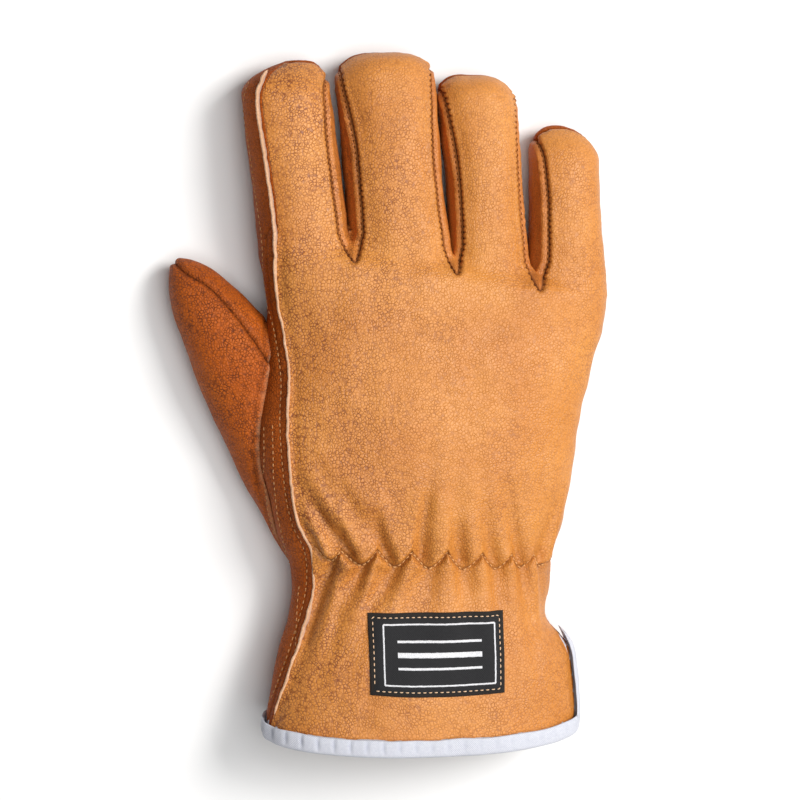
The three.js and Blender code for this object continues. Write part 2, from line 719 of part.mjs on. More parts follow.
// The thumb stands on the hand with a clearance, and its long seam parts the outer from the inner half.
const handAround = handSolid({ grow: CLEARANCE }).add(fingerSolid(index, { grow: CLEARANCE }));
const thumbShell = thumbOuter.subtract(thumbInner).subtract(handAround);
function thumbHalf(offset) {
  const seam = THUMB_SEAM.map((row) => {
    const section = thumbSection(Math.min(row.along, 1));
    return thumbPlan(row.along * THUMB_LENGTH, section.centre + row.across * section.half + offset);
  }).map((point) => new THREE.Vector2(point.x, point.y));
  const last = seam[seam.length - 1];
  const far = [
    [FAR, last.y],
    [FAR, FAR],
    [seam[0].x, FAR],
  ].map(([x, y]) => new THREE.Vector2(x, y));
  return prism([...seam, ...far], -FAR, FAR);
}
const thumbOuterHalf = thumbShell.subtract(thumbHalf(-gapHalf));
const thumbInnerHalf = thumbShell.intersect(thumbHalf(gapHalf));

function material(colour, roughness) {
  return new THREE.MeshStandardMaterial({ color: colour, roughness, metalness: 0 });
}
const leather = material(LEATHER_COLOUR, 0.55);
const palmLeather = material(PALM_COLOUR, 0.6);

function meshOf(name, solid, finish) {
  const made = solid.getMesh();
  const geometry = new THREE.BufferGeometry();
  geometry.setAttribute("position", new THREE.BufferAttribute(new Float32Array(made.vertProperties), 3));
  geometry.setIndex(new THREE.BufferAttribute(new Uint32Array(made.triVerts), 1));
  geometry.computeVertexNormals();
  const mesh = new THREE.Mesh(geometry, finish);
  mesh.name = name;
  return mesh;
}

// The raised raw edge: a strip that stands on the leather along the index-side seam.
function weltSolid() {
  const start = -CUFF_LENGTH + BINDING_WIDTH + CUFF_OVERRUN * HALF;
  const end = index.y + index.length - WELT_SHORT;
  const rings = [];
  for (let i = 0; i <= WELT_STEPS; i++) {
    const y = THREE.MathUtils.lerp(start, end, i / WELT_STEPS);
    const section = weltSection(y);
    const mid = (section.top + section.floor) * HALF;
    const x = weltX(y);
    const z = outlineHeight(section, x);
    const power = section.round - 1;
    const rise = (section.top - section.floor) * HALF;
    const normal = new THREE.Vector3(
      -(((section.centre - x) / section.half) ** power) / section.half,
      0,
      ((z - mid) / rise) ** power / rise,
    ).normalize();
    const along = new THREE.Vector3(-normal.z, 0, normal.x);
    const corner = (across, height) => {
      const point = new THREE.Vector3(x, y, z).addScaledVector(along, across * WELT_WIDTH * HALF);
      return point.addScaledVector(normal, height);
    };
    const low = -WELT_HEIGHT * HALF;
    const high = CLEARANCE + WELT_HEIGHT;
    rings.push([corner(1, low), corner(-1, low), corner(-1, high), corner(1, high)]);
  }
  return loft(rings).subtract(handAround);
}

// The woven patch: a sheet that follows the cuff's back with a clearance.
function labelSolid() {
  const sheet = handSolid({ grow: CLEARANCE + LABEL_THICKNESS }).subtract(handSolid({ grow: CLEARANCE }));
  const x = handSection(-CUFF_LENGTH + LABEL_ABOVE_HEM).centre + LABEL_OFFSET;
  const y = -CUFF_LENGTH + LABEL_ABOVE_HEM;
  const outline = [
    new THREE.Vector2(x - LABEL_WIDTH * HALF, y),
    new THREE.Vector2(x + LABEL_WIDTH * HALF, y),
    new THREE.Vector2(x + LABEL_WIDTH * HALF, y + LABEL_HEIGHT),
    new THREE.Vector2(x - LABEL_WIDTH * HALF, y + LABEL_HEIGHT),
  ];
  return sheet.intersect(prism(outline, HEM_HEIGHT * HALF, FAR));
}

const glove = new THREE.Group();
glove.add(meshOf("back_panel", backPanel, leather));
glove.add(meshOf("palm_panel", palmPanel, palmLeather));
fourchettes.forEach(({ name, solid }) => glove.add(meshOf(name, solid, palmLeather)));
glove.add(meshOf("thumb_outer", thumbOuterHalf, leather));
glove.add(meshOf("thumb_inner", thumbInnerHalf, palmLeather));

glove.add(meshOf("index_seam_welt", weltSolid(), material(WELT_COLOUR, 0.8)));
glove.add(meshOf("hem_binding", bindingSolid(), material(BINDING_COLOUR, 0.8)));
glove.add(meshOf("label_patch", labelSolid(), material(LABEL_COLOUR, 0.85)));

// The origin is the middle of the glove's box, on the surface that it lies on.
const box = new THREE.Box3().setFromObject(glove);
glove.position.set(-(box.min.x + box.max.x) * HALF, -(box.min.y + box.max.y) * HALF, -box.min.z);

export default glove;
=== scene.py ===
"""Insulated leather driver glove, right hand, lying on its palm.

The glove's form is a set of superellipse sections, joined smoothly and turned into a surface. The surface is
cut into the real panels along the seams, and each panel gets its folds, seam edges, thickness and leather.
Sizes are in millimetres in the hand's own frame (origin at the wrist gathers, +Y to the fingertips, +X to the
little finger, +Z the back of the hand) and become metres in the part's frame when an object is made.
"""

import logging
import math
from dataclasses import dataclass, field, replace
from enum import Enum
from typing import Callable, Iterator, NamedTuple, Sequence

import bpy
import numpy as np
from mathutils import Matrix, Vector
from mathutils.bvhtree import BVHTree
from mathutils.kdtree import KDTree

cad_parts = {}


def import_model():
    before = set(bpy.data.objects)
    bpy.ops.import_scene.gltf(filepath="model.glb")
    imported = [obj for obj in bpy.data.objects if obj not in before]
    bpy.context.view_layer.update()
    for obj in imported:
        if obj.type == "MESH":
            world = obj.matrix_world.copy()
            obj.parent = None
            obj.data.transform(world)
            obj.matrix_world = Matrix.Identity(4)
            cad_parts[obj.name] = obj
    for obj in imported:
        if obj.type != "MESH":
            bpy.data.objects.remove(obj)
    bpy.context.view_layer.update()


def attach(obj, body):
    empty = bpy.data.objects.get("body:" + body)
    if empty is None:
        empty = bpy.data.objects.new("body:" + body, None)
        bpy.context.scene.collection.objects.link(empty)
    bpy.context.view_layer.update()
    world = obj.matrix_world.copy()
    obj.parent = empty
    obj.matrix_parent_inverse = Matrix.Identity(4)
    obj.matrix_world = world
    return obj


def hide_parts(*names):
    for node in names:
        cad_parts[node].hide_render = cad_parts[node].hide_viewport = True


log = logging.getLogger("glove")
Array = np.ndarray
Field = Callable[[Array], Array]
Socket = bpy.types.NodeSocket
Colour = tuple[float, float, float]

MM = 0.001
FRAME_SHIFT = np.array([11.04, -59.41, 0.0])


class Zone(Enum):
    """Stretches of the hand whose rows share their measures: length, width and height."""

    CUFF = (-59.5, 113.0, 45.0)
    WRIST = (-59.5, 93.0, 36.0)
    HAND = (106.0, 119.4, 39.5)
    KNUCKLE = (106.0, 119.4, 33.0)


class HandRow(NamedTuple):
    """One section of the hand, as shares of its zone's measures; lean is a share of the hem's lean."""

    zone: Zone
    along: float
    width: float
    centre: float
    height: float
    power: float
    lean: float
    side: float
    lift: float


HAND_ROWS = (
    HandRow(Zone.CUFF, 1.1, 1.0, 0.0, 1.0, 2.1, 1.0, 0.5, 1.0),
    HandRow(Zone.CUFF, 0.9, 1.0, 0.002, 0.99, 2.1, 0.95, 0.5, 1.0),
    HandRow(Zone.CUFF, 0.69, 0.98, 0.007, 0.96, 2.1, 0.75, 0.5, 1.0),
    HandRow(Zone.CUFF, 0.51, 0.945, 0.012, 0.92, 2.1, 0.45, 0.49, 0.6),
    HandRow(Zone.WRIST, 0.33, 1.03, -0.006, 1.06, 2.15, 0.15, 0.48, 0.2),
    HandRow(Zone.WRIST, 0.15, 1.026, 0.014, 1.0, 2.2, 0.0, 0.46, 0.0),
    HandRow(Zone.WRIST, -0.03, 1.045, 0.011, 1.0, 2.2, 0.0, 0.45, 0.0),
    HandRow(Zone.HAND, 0.12, 0.88, 0.0, 0.95, 2.25, 0.0, 0.44, 0.0),
    HandRow(Zone.HAND, 0.225, 0.915, -0.004, 0.98, 2.3, 0.0, 0.43, 0.0),
    HandRow(Zone.HAND, 0.36, 0.96, -0.007, 1.0, 2.35, 0.0, 0.42, 0.0),
    HandRow(Zone.HAND, 0.5, 0.983, 0.002, 0.995, 2.35, 0.0, 0.42, 0.0),
    HandRow(Zone.HAND, 0.635, 0.997, 0.023, 0.97, 2.4, 0.0, 0.42, 0.0),
    HandRow(Zone.HAND, 0.77, 1.0, 0.04, 0.925, 2.4, 0.0, 0.42, 0.0),
    HandRow(Zone.KNUCKLE, 0.91, 1.02, 0.043, 1.04, 2.5, 0.0, 0.42, 0.0),
    HandRow(Zone.KNUCKLE, 1.03, 1.045, 0.036, 1.0, 2.6, 0.0, 0.42, 0.0),
)


class SectionRow(NamedTuple):
    """One section along a finger, as shares of the finger's own measures."""

    along: float
    width: float
    height: float
    floor: float


FINGER_ROWS = (
    SectionRow(-0.4, 0.6, 0.97, 0.02),
    SectionRow(0.0, 1.0, 1.0, 0.03),
    SectionRow(0.35, 1.0, 1.0, 0.07),
    SectionRow(0.65, 1.0, 0.93, 0.06),
    SectionRow(1.0, 1.0, 0.8, 0.0),
)


class ThumbRow(NamedTuple):
    """One section along the thumb, as shares of its length, width and height."""

    along: float
    width: float
    offset: float
    height: float


THUMB_ROWS = (
    ThumbRow(-0.02, 0.4, 0.07, 0.8),
    ThumbRow(0.1, 0.64, 0.1, 0.84),
    ThumbRow(0.2, 0.79, 0.12, 0.86),
    ThumbRow(0.3, 0.91, 0.14, 0.85),
    ThumbRow(0.4, 0.97, 0.16, 0.87),
    ThumbRow(0.5, 1.0, 0.165, 0.93),
    ThumbRow(0.6, 1.0, 0.16, 1.0),
    ThumbRow(0.7, 0.95, 0.145, 1.0),
    ThumbRow(0.8, 0.85, 0.115, 0.95),
    ThumbRow(1.0, 0.62, -0.01, 0.86),
)


class SeamRow(NamedTuple):
    """A place of a seam: a share along, and its place across as a share of the half width."""

    along: float
    across: float


WELT_ON_HAND = (
    SeamRow(-0.62, -0.99), SeamRow(-0.53, -0.98), SeamRow(-0.4, -0.935), SeamRow(-0.26, -0.9),
    SeamRow(-0.11, -0.88), SeamRow(0.0, -0.85), SeamRow(0.08, -0.82), SeamRow(0.16, -0.845),
    SeamRow(0.3, -0.845), SeamRow(0.5, -0.85), SeamRow(0.65, -0.87), SeamRow(0.8, -0.92),
    SeamRow(0.95, -0.94),
)
WELT_ON_INDEX = (
    SeamRow(0.1, -0.68), SeamRow(0.35, -0.71), SeamRow(0.6, -0.735), SeamRow(0.8, -0.74),
    SeamRow(0.9, -0.64), SeamRow(1.05, -0.45),
)
THUMB_SEAM = (
    SeamRow(0.35, 1.6), SeamRow(0.5, 0.95), SeamRow(0.6, 0.6), SeamRow(0.7, 0.5), SeamRow(0.8, 0.42),
    SeamRow(0.9, 0.28), SeamRow(0.97, -0.1), SeamRow(1.1, -0.3),
)


class Tuck(NamedTuple):
    """One end of the gathers' zigzag stitch line, on the back of the wrist."""

    x: float
    y: float


GATHER_LINE = (
    Tuck(-46.0, 9.0), Tuck(-39.9, 8.6), Tuck(-34.1, 3.6), Tuck(-31.2, 7.6), Tuck(-23.6, 2.1),
    Tuck(-18.1, 7.6), Tuck(-11.6, 1.4), Tuck(-5.8, 6.8), Tuck(0.7, 0.7), Tuck(7.2, 6.5),
    Tuck(13.3, 0.0), Tuck(20.2, 5.4), Tuck(25.7, -0.4), Tuck(31.4, 4.7), Tuck(35.1, -0.4),
    Tuck(40.1, 4.3), Tuck(42.7, -0.4), Tuck(46.8, 0.5),
)


class Pleat(NamedTuple):
    """A fold that runs out of the gathers: its foot on the stitch line and its lean per millimetre."""

    x: float
    lean: float


PLEATS_ABOVE = (
    Pleat(-40.0, -0.8), Pleat(-27.6, -0.7), Pleat(-13.8, -0.4), Pleat(-2.4, 0.07), Pleat(11.6, -0.08),
    Pleat(24.2, -0.2), Pleat(34.3, -0.2), Pleat(41.5, 0.2), Pleat(48.0, 0.3),
)
PLEATS_BELOW = (
    Pleat(-44.0, 0.3), Pleat(-33.4, 0.38), Pleat(-23.2, 0.45), Pleat(-12.0, 0.45), Pleat(0.9, 0.1),
    Pleat(13.5, -0.1), Pleat(25.7, -0.1), Pleat(35.5, -0.15), Pleat(43.5, -0.1),
)


class Crease(NamedTuple):
    """A crease or soft fold in the leather: its line in plan, its depth and its width."""

    line: tuple[tuple[float, float], ...]
    depth: float
    width: float


BACK_CREASES = (
    Crease(((-44.6, 28.0), (-36.6, 18.1), (-31.2, 10.0), (-28.0, 6.0)), 1.2, 2.2),
    Crease(((-20.5, 19.0), (-17.4, 11.0), (-14.2, 5.0)), 1.0, 1.8),
    Crease(((0.4, 33.0), (-0.8, 25.3), (-2.3, 5.0)), 1.3, 1.8),
    Crease(((10.4, 22.0), (11.8, 4.0)), 0.8, 1.8),
    Crease(((-33.4, 2.0), (-36.2, -4.0), (-39.1, -13.0), (-42.0, -20.0), (-45.7, -30.0)), 1.2, 2.6),
    Crease(((-12.0, 0.0), (-14.9, -5.5), (-19.0, -14.0)), 0.9, 2.2),
    Crease(((-23.2, 1.0), (-28.0, -9.0)), 0.8, 2.0),
    Crease(((-52.0, -14.0), (-47.0, -24.0)), 0.5, 3.0),
    Crease(((30.0, 92.0), (24.0, 84.0), (14.0, 80.0)), 0.35, 3.2),
    Crease(((36.0, 100.0), (30.0, 93.0)), 0.35, 2.4),
    Crease(((-15.0, 104.0), (-18.0, 92.0)), 0.3, 3.0),
)


BESIDE_WELT = ((-54.0, 2.5), (60.0, 2.7), (105.0, 3.9), (150.0, 4.3), (176.0, 3.6))
PALM_ROWS = (
    ((-57.5, 52.0), (-57.4, 34.8), (-55.4, 19.9), (-52.2, 9.5)),
    ((-54.8, 53.0), (-54.5, 34.8), (-52.7, 19.9), (-50.2, 9.0), (-47.5, 1.0)),
    ((-44.8, -6.0), (-45.6, -14.0), (-46.9, -28.6), (-48.9, -35.0), (-52.2, -45.5)),
)


class Stitch(NamedTuple):
    """A kind of stitching: the stitches' spacing, length and thread radius."""

    pitch: float
    length: float
    radius: float


SEAM_STITCH = Stitch(2.1, 1.25, 0.2)
TOP_STITCH = Stitch(2.3, 1.45, 0.22)
GATHER_STITCH = Stitch(2.0, 1.35, 0.26)
LABEL_STITCH = Stitch(2.1, 1.25, 0.2)
TAPE_STITCH = Stitch(5.8, 1.0, 0.16)


def smoothstep(value: Array, low: float, high: float) -> Array:
    """An even rise from 0 at low to 1 at high."""
    t = np.clip((value - low) / (high - low), 0.0, 1.0)
    return t * t * (3.0 - 2.0 * t)


def bump(distance: Array, centre: float, width: float) -> Array:
    """A round bump of height 1 at a distance from a line."""
    return np.exp(-(((distance - centre) / width) ** 2))


@dataclass
class Curve:
    """A smooth curve through a table's values, read at any place along it."""

    places: Sequence[float]
    values: Sequence[float]
    step: float = 0.2
    least: int = 400

    def __post_init__(self) -> None:
        """Fits cubics with even slopes through the table and samples them finely."""
        order = np.argsort(self.places)
        p = np.asarray(self.places, float)[order]
        v = np.asarray(self.values, float)[order]
        slope = np.empty_like(v)
        slope[1:-1] = (v[2:] - v[:-2]) / (p[2:] - p[:-2])
        slope[0] = (v[1] - v[0]) / (p[1] - p[0])
        slope[-1] = (v[-1] - v[-2]) / (p[-1] - p[-2])
        count = max(int((p[-1] - p[0]) / self.step), self.least)
        self.places = np.linspace(p[0], p[-1], count + 1)
        i = np.clip(np.searchsorted(p, self.places, side="right") - 1, 0, len(p) - 2)
        span = p[i + 1] - p[i]
        t = (self.places - p[i]) / span
        rise = v[i + 1] - v[i]
        start, end = slope[i] * span, slope[i + 1] * span
        cubic = start + end - 2 * rise
        square = 3 * rise - 2 * start - end
        self.values = v[i] + t * (start + t * (square + t * cubic))

    def __call__(self, at: Array) -> Array:
        """The curve's value at each place; beyond its ends it stays level."""
        return np.interp(at, self.places, self.values)


def superellipse(u: Array, v: Array, power: Array) -> Array:
    """1 on the outline of a unit superellipse, less inside and more outside."""
    return (np.abs(u) ** power + np.abs(v) ** power) ** (1.0 / power)


def first_order(rho: Field, points: Array, step: float = 0.05) -> Array:
    """The distance to the place where rho is 1, to first order.

    Args:
        rho: a field that is 1 on the surface.
        points: one point per row.
        step: the length over which the slope is measured.

    Returns:
        The signed distance of each point, less than 0 inside.
    """
    at = rho(points)
    slope = np.zeros(len(points))
    for axis in range(3):
        moved = points.copy()
        moved[:, axis] += step
        slope += ((rho(moved) - at) / step) ** 2
    return (at - 1.0) / np.maximum(np.sqrt(slope), 1e-4)


@dataclass(frozen=True)
class HandForm:
    """The hand and cuff: sections along Y with a rounded end at the finger forks."""

    length: float = 106.0
    knuckle_slant: float = 9.0
    palm_width: float = 119.4
    cuff_length: float = 59.5
    hem_lean: float = 5.5
    rest_flat: float = 1.2
    tape_under: float = 1.0
    fork_start: float = 103.0
    fork_round: float = 10.0
    skew_start: float = 0.7

    def __post_init__(self) -> None:
        """Turns the table's shares into curves along Y."""
        rows = [(row, *row.zone.value) for row in HAND_ROWS]
        places = [row.along * length for row, length, _, _ in rows]
        columns = {
            "half": [row.width * width / 2 for row, _, width, _ in rows],
            "centre": [row.centre * width for row, _, width, _ in rows],
            "top": [row.height * height for row, _, _, height in rows],
            "side": [row.side * row.height * height for row, _, _, height in rows],
            "power": [row.power for row, *_ in rows],
            "lean": [row.lean * self.hem_lean for row, *_ in rows],
            "rest": [row.lift * self.tape_under for row, *_ in rows],
        }
        for name, values in columns.items():
            object.__setattr__(self, name, Curve(places, values))

    @property
    def slope(self) -> float:
        """How steeply the knuckle line falls towards the little finger."""
        return self.knuckle_slant / (self.palm_width / 2)

    def knuckle_line(self, x: Array) -> Array:
        """The knuckles' place along Y at a place across."""
        return self.length - self.slope * x

    def station(self, points: Array) -> Array:
        """The section that each point belongs to, with the hem's lean and the knuckles' slant undone.

        Args:
            points: one point per row.

        Returns:
            The section's place along Y for each point.
        """
        x, y, z = points.T
        mid, rise = self.middle(y)
        up = np.clip((z - mid) / rise, -1.0, 1.0)
        slant = smoothstep(y, self.length * self.skew_start, self.length)
        return y + self.lean(y) * up + self.slope * (x - self.centre(y)) * slant

    def middle(self, y: Array) -> tuple[Array, Array]:
        """The middle height and the half height of the section at y."""
        top, floor = self.top(y), self.rest(y) - self.rest_flat
        return (top + floor) / 2, (top - floor) / 2

    def rho(self, points: Array) -> Array:
        """The hand's field: 1 on its surface.

        Args:
            points: one point per row.

        Returns:
            The field at each point.
        """
        y = self.station(points)
        mid, rise = self.middle(y)
        u = (points[:, 0] - self.centre(y)) / self.half(y)
        ring = superellipse(u, (points[:, 2] - mid) / rise, self.power(y))
        past = np.clip((y - self.fork_start) / self.fork_round, 0.0, None)
        return np.sqrt(ring**2 + past**2)


@dataclass(frozen=True)
class Finger:
    """One finger: a tube of sections with a rounded tip."""

    name: str
    length: float
    width: float
    taper: float
    tall: float
    lean: float
    hook: float
    blunt: float
    left: float
    right: float
    fork: float
    x: float = 0.0
    y: float = 0.0
    height: float = 31.0
    tip_round: float = 13.0
    root_depth: float = 14.0
    root_round: float = 8.0
    power: float = 2.35
    rest_flat: float = 1.2

    def __post_init__(self) -> None:
        """Turns the section table into curves along the finger."""
        along = [row.along for row in FINGER_ROWS]
        for name in ("width", "height", "floor"):
            object.__setattr__(self, f"{name}_at", Curve(along, [getattr(row, name) for row in FINGER_ROWS]))

    def middle_line(self, y: Array) -> Array:
        """The place across of the finger's middle at y.

        Args:
            y: places along Y.

        Returns:
            The middle's place across at each place.
        """
        reach = y - self.y
        along = np.minimum(reach / self.length, 1.0)
        line = 1.0 - self.tip_round / self.length
        turned = np.clip((along - line) / (1.0 - line), 0.0, None)
        return self.x - along * self.length * math.tan(math.radians(self.lean)) + self.hook * turned**2

    def half(self, y: Array) -> Array:
        """The finger's half width at y, before its tip is rounded."""
        along = np.minimum((y - self.y) / self.length, 1.0)
        taper = 1.0 + (self.taper - 1.0) * np.clip(along, 0.0, 1.0)
        return self.width / 2 * taper * self.width_at(along)

    def rho(self, points: Array) -> Array:
        """The finger's field: 1 on its surface.

        Args:
            points: one point per row.

        Returns:
            The field at each point.
        """
        x, y, z = points.T
        reach = y - self.y
        along = np.minimum(reach / self.length, 1.0)
        tall = self.height * self.tall
        top = self.height_at(along) * tall
        floor = self.floor_at(along) * tall - self.rest_flat
        mid, rise = (top + floor) / 2, (top - floor) / 2
        ring = superellipse((x - self.middle_line(y)) / self.half(y), (z - mid) / rise, self.power)
        tip = np.clip((reach - self.length + self.tip_round) / self.tip_round, 0.0, None)
        root = np.clip((-self.root_depth - reach) / self.root_round, 0.0, None)
        return np.sqrt((ring**self.blunt + tip**self.blunt) ** (2.0 / self.blunt) + root**2)


@dataclass(frozen=True)
class ThumbForm:
    """The thumb: a tube of sections along its own slanting axis."""

    base_x: float = -40.0
    angle: float = 22.8
    length: float = 120.6
    width: float = 33.0
    height: float = 24.5
    tip_round: float = 26.0
    base_round: float = 6.0
    power: float = 2.2
    rest_flat: float = 1.2

    def __post_init__(self) -> None:
        """Turns the section table into curves along the thumb."""
        along = [row.along for row in THUMB_ROWS]
        for name in ("width", "offset", "height"):
            object.__setattr__(self, f"{name}_at", Curve(along, [getattr(row, name) for row in THUMB_ROWS]))
        places = [row.along for row in THUMB_SEAM]
        object.__setattr__(self, "seam_at", Curve(places, [row.across for row in THUMB_SEAM]))

    def local(self, points: Array) -> tuple[Array, Array]:
        """Each point's place along and across the thumb."""
        turn = math.radians(self.angle)
        dx, dy = points[:, 0] - self.base_x, points[:, 1]
        return dy * math.cos(turn) - dx * math.sin(turn), dx * math.cos(turn) + dy * math.sin(turn)

    def plan(self, reach: Array, across: Array) -> tuple[Array, Array]:
        """The place in plan of a point along and across the thumb."""
        turn = math.radians(self.angle)
        x = self.base_x - reach * math.sin(turn) + across * math.cos(turn)
        return x, reach * math.cos(turn) + across * math.sin(turn)

    def rho(self, points: Array) -> Array:
        """The thumb's field: 1 on its surface.

        Args:
            points: one point per row.

        Returns:
            The field at each point.
        """
        reach, across = self.local(points)
        along = np.minimum(reach / self.length, 1.0)
        half = self.width_at(along) * self.width / 2
        top = self.height_at(along) * self.height
        mid, rise = (top - self.rest_flat) / 2, (top + self.rest_flat) / 2
        u = (across - self.offset_at(along) * self.width) / half
        ring = superellipse(u, (points[:, 2] - mid) / rise, self.power)
        tip = np.clip((reach - self.length + self.tip_round) / self.tip_round, 0.0, None)
        base = np.clip(-reach / self.base_round, 0.0, None)
        return np.sqrt(ring**2 + tip**2 + base**2)

    def distance(self, points: Array) -> Array:
        """Signed distance to the thumb's skin, which is flat on the floor."""
        return smooth_max(first_order(self.rho, points), -points[:, 2], 1.0)

    def seam(self, points: Array) -> Array:
        """How far each point lies on the hand's side of the thumb's long seam."""
        reach, across = self.local(points)
        along = reach / self.length
        half = self.width_at(np.minimum(along, 1.0)) * self.width / 2
        return across - self.offset_at(np.minimum(along, 1.0)) * self.width - self.seam_at(along) * half


def smooth_max(a: Array, b: Array, width: float) -> Array:
    """The larger of two distances, with the corner between them rounded."""
    return -smooth_min(-a, -b, width)


def smooth_min(a: Array, b: Array, width: float) -> Array:
    """The smaller of two distances, with the corner between them filled."""
    share = np.maximum(width - np.abs(a - b), 0.0) / width
    return np.minimum(a, b) - share**3 * width / 6.0


def make_fingers(hand: HandForm, gap: float = 0.6, middle_offset: float = 10.8) -> list[Finger]:
    """The four fingers side by side, each with the same gap to its neighbour.

    Args:
        hand: the hand that they stand on.
        gap: the space between neighbours.
        middle_offset: how far the middle finger stands from the hand's middle, towards the thumb.

    Returns:
        The fingers from index to little.
    """
    # Each row: name, length, width, taper, tall, lean, hook, blunt, left seam, right seam, fork.
    rows = (
        Finger("index", 70.5, 33.0, 0.97, 0.97, 6.3, 7.6, 1.78, -0.72, 0.71, 1.0),
        Finger("middle", 78.0, 36.0, 0.98, 1.0, 5.1, 1.04, 3.0, -0.8, 0.78, 2.0),
        Finger("ring", 75.0, 27.8, 1.0, 0.96, 4.0, -1.56, 3.0, -0.78, 0.84, 0.0),
        Finger("little", 61.0, 28.4, 0.86, 0.88, 1.2, -3.0, 2.0, -0.65, 1.2, 0.0),
    )
    middle = float(hand.centre(hand.length)) - middle_offset
    places = [middle]
    places.insert(0, middle - (rows[0].width + rows[1].width) / 2 - gap)
    for left, right in zip(rows[1:], rows[2:]):
        places.append(places[-1] + (left.width + right.width) / 2 + gap)
    return [replace(row, x=x, y=float(hand.knuckle_line(x))) for row, x in zip(rows, places)]


@dataclass
class GloveForm:
    """The hand and its fingers as one skin.

    The fingers are fanned out a little while the skin is made, so that the narrow gaps between them stay
    open, and brought together again afterwards.
    """

    hand: HandForm = field(default_factory=HandForm)
    fanned: tuple[float, ...] = (-6.3, -2.1, 2.1, 6.3)
    fan_length: float = 20.0
    knuckle_blend: float = 7.0
    floor_blend: float = 1.4
    closing: float = 0.4

    def __post_init__(self) -> None:
        """Stands the fingers on the hand."""
        self.fingers = make_fingers(self.hand)

    def fan(self, i: int, y: Array) -> Array:
        """How far finger i is fanned out at y."""
        root = self.fingers[i].y
        return self.fanned[i] * smoothstep(y, root, root + self.fan_length)

    def finger_distance(self, i: int, points: Array) -> Array:
        """Signed distance to finger i, fanned out."""
        moved = points.copy()
        moved[:, 0] -= self.fan(i, points[:, 1])
        return first_order(self.fingers[i].rho, moved)

    def distance(self, points: Array) -> Array:
        """Signed distance to the fanned glove's skin."""
        fingers = np.min([self.finger_distance(i, points) for i in range(len(self.fingers))], axis=0)
        hand = first_order(self.hand.rho, points)
        skin = smooth_min(hand, fingers, self.knuckle_blend)
        return smooth_max(skin, -points[:, 2], self.floor_blend)

    def closed(self, points: Array) -> Array:
        """The fanned points with the fingers brought together.

        Args:
            points: points on the fanned skin.

        Returns:
            The moved points.
        """
        distances = [first_order(self.hand.rho, points)]
        distances += [self.finger_distance(i, points) for i in range(len(self.fingers))]
        further = np.clip(np.array(distances) - np.min(distances, axis=0), 0.0, 100.0 * self.closing)
        weights = np.exp(-further / self.closing)
        weights /= weights.sum(axis=0)
        moved = points.copy()
        for i in range(len(self.fingers)):
            moved[:, 0] -= weights[i + 1] * self.fan(i, points[:, 1])
        return moved


def surface_nets(values: Array, origin: Array, step: float) -> tuple[Array, Array]:
    """The surface where a sampled field is 0, as points and quads.

    Args:
        values: the field at the points of a grid, less than 0 inside.
        origin: the grid's first point.
        step: the grid's spacing.

    Returns:
        The points and the quads, which face outwards.
    """
    inside = values < 0
    cells = tuple(n - 1 for n in values.shape)
    total = np.zeros((*cells, 3))
    count = np.zeros(cells)
    corners = [(i, j, k) for i in (0, 1) for j in (0, 1) for k in (0, 1)]

    def corner(array: Array, at: tuple[int, int, int]) -> Array:
        """The array's values at one corner of every cell."""
        return array[tuple(slice(a, a + n) for a, n in zip(at, cells))]

    for a in corners:
        for axis in range(3):
            if a[axis]:
                continue
            b = tuple(v + (i == axis) for i, v in enumerate(a))
            va, vb = corner(values, a), corner(values, b)
            crossed = corner(inside, a) != corner(inside, b)
            t = va[crossed] / (va[crossed] - vb[crossed])
            place = np.tile(np.array(a, float), (len(t), 1))
            place[:, axis] += t
            total[crossed] += place
            count[crossed] += 1
    active = count > 0
    number = np.full(cells, -1)
    number[active] = np.arange(active.sum())
    points = (np.argwhere(active) + total[active] / count[active][:, None]) * step + origin
    quads = []
    for axis in range(3):
        u, v = (axis + 1) % 3, (axis + 2) % 3
        low = [slice(None)] * 3
        high = [slice(None)] * 3
        low[axis], high[axis] = slice(0, -1), slice(1, None)
        a, b = inside[tuple(low)], inside[tuple(high)]
        at = np.argwhere(a != b)
        for side in (u, v):
            at = at[(at[:, side] > 0) & (at[:, side] < values.shape[side] - 1)]
        ring = []
        for du, dv in ((1, 1), (0, 1), (0, 0), (1, 0)):
            cell = at.copy()
            cell[:, u] -= du
            cell[:, v] -= dv
            ring.append(number[tuple(cell.T)])
        quad = np.array(ring).T
        flip = ~a[tuple(at.T)]
        quad[flip] = quad[flip][:, ::-1]
        quads.append(quad)
    return points, np.concatenate(quads)


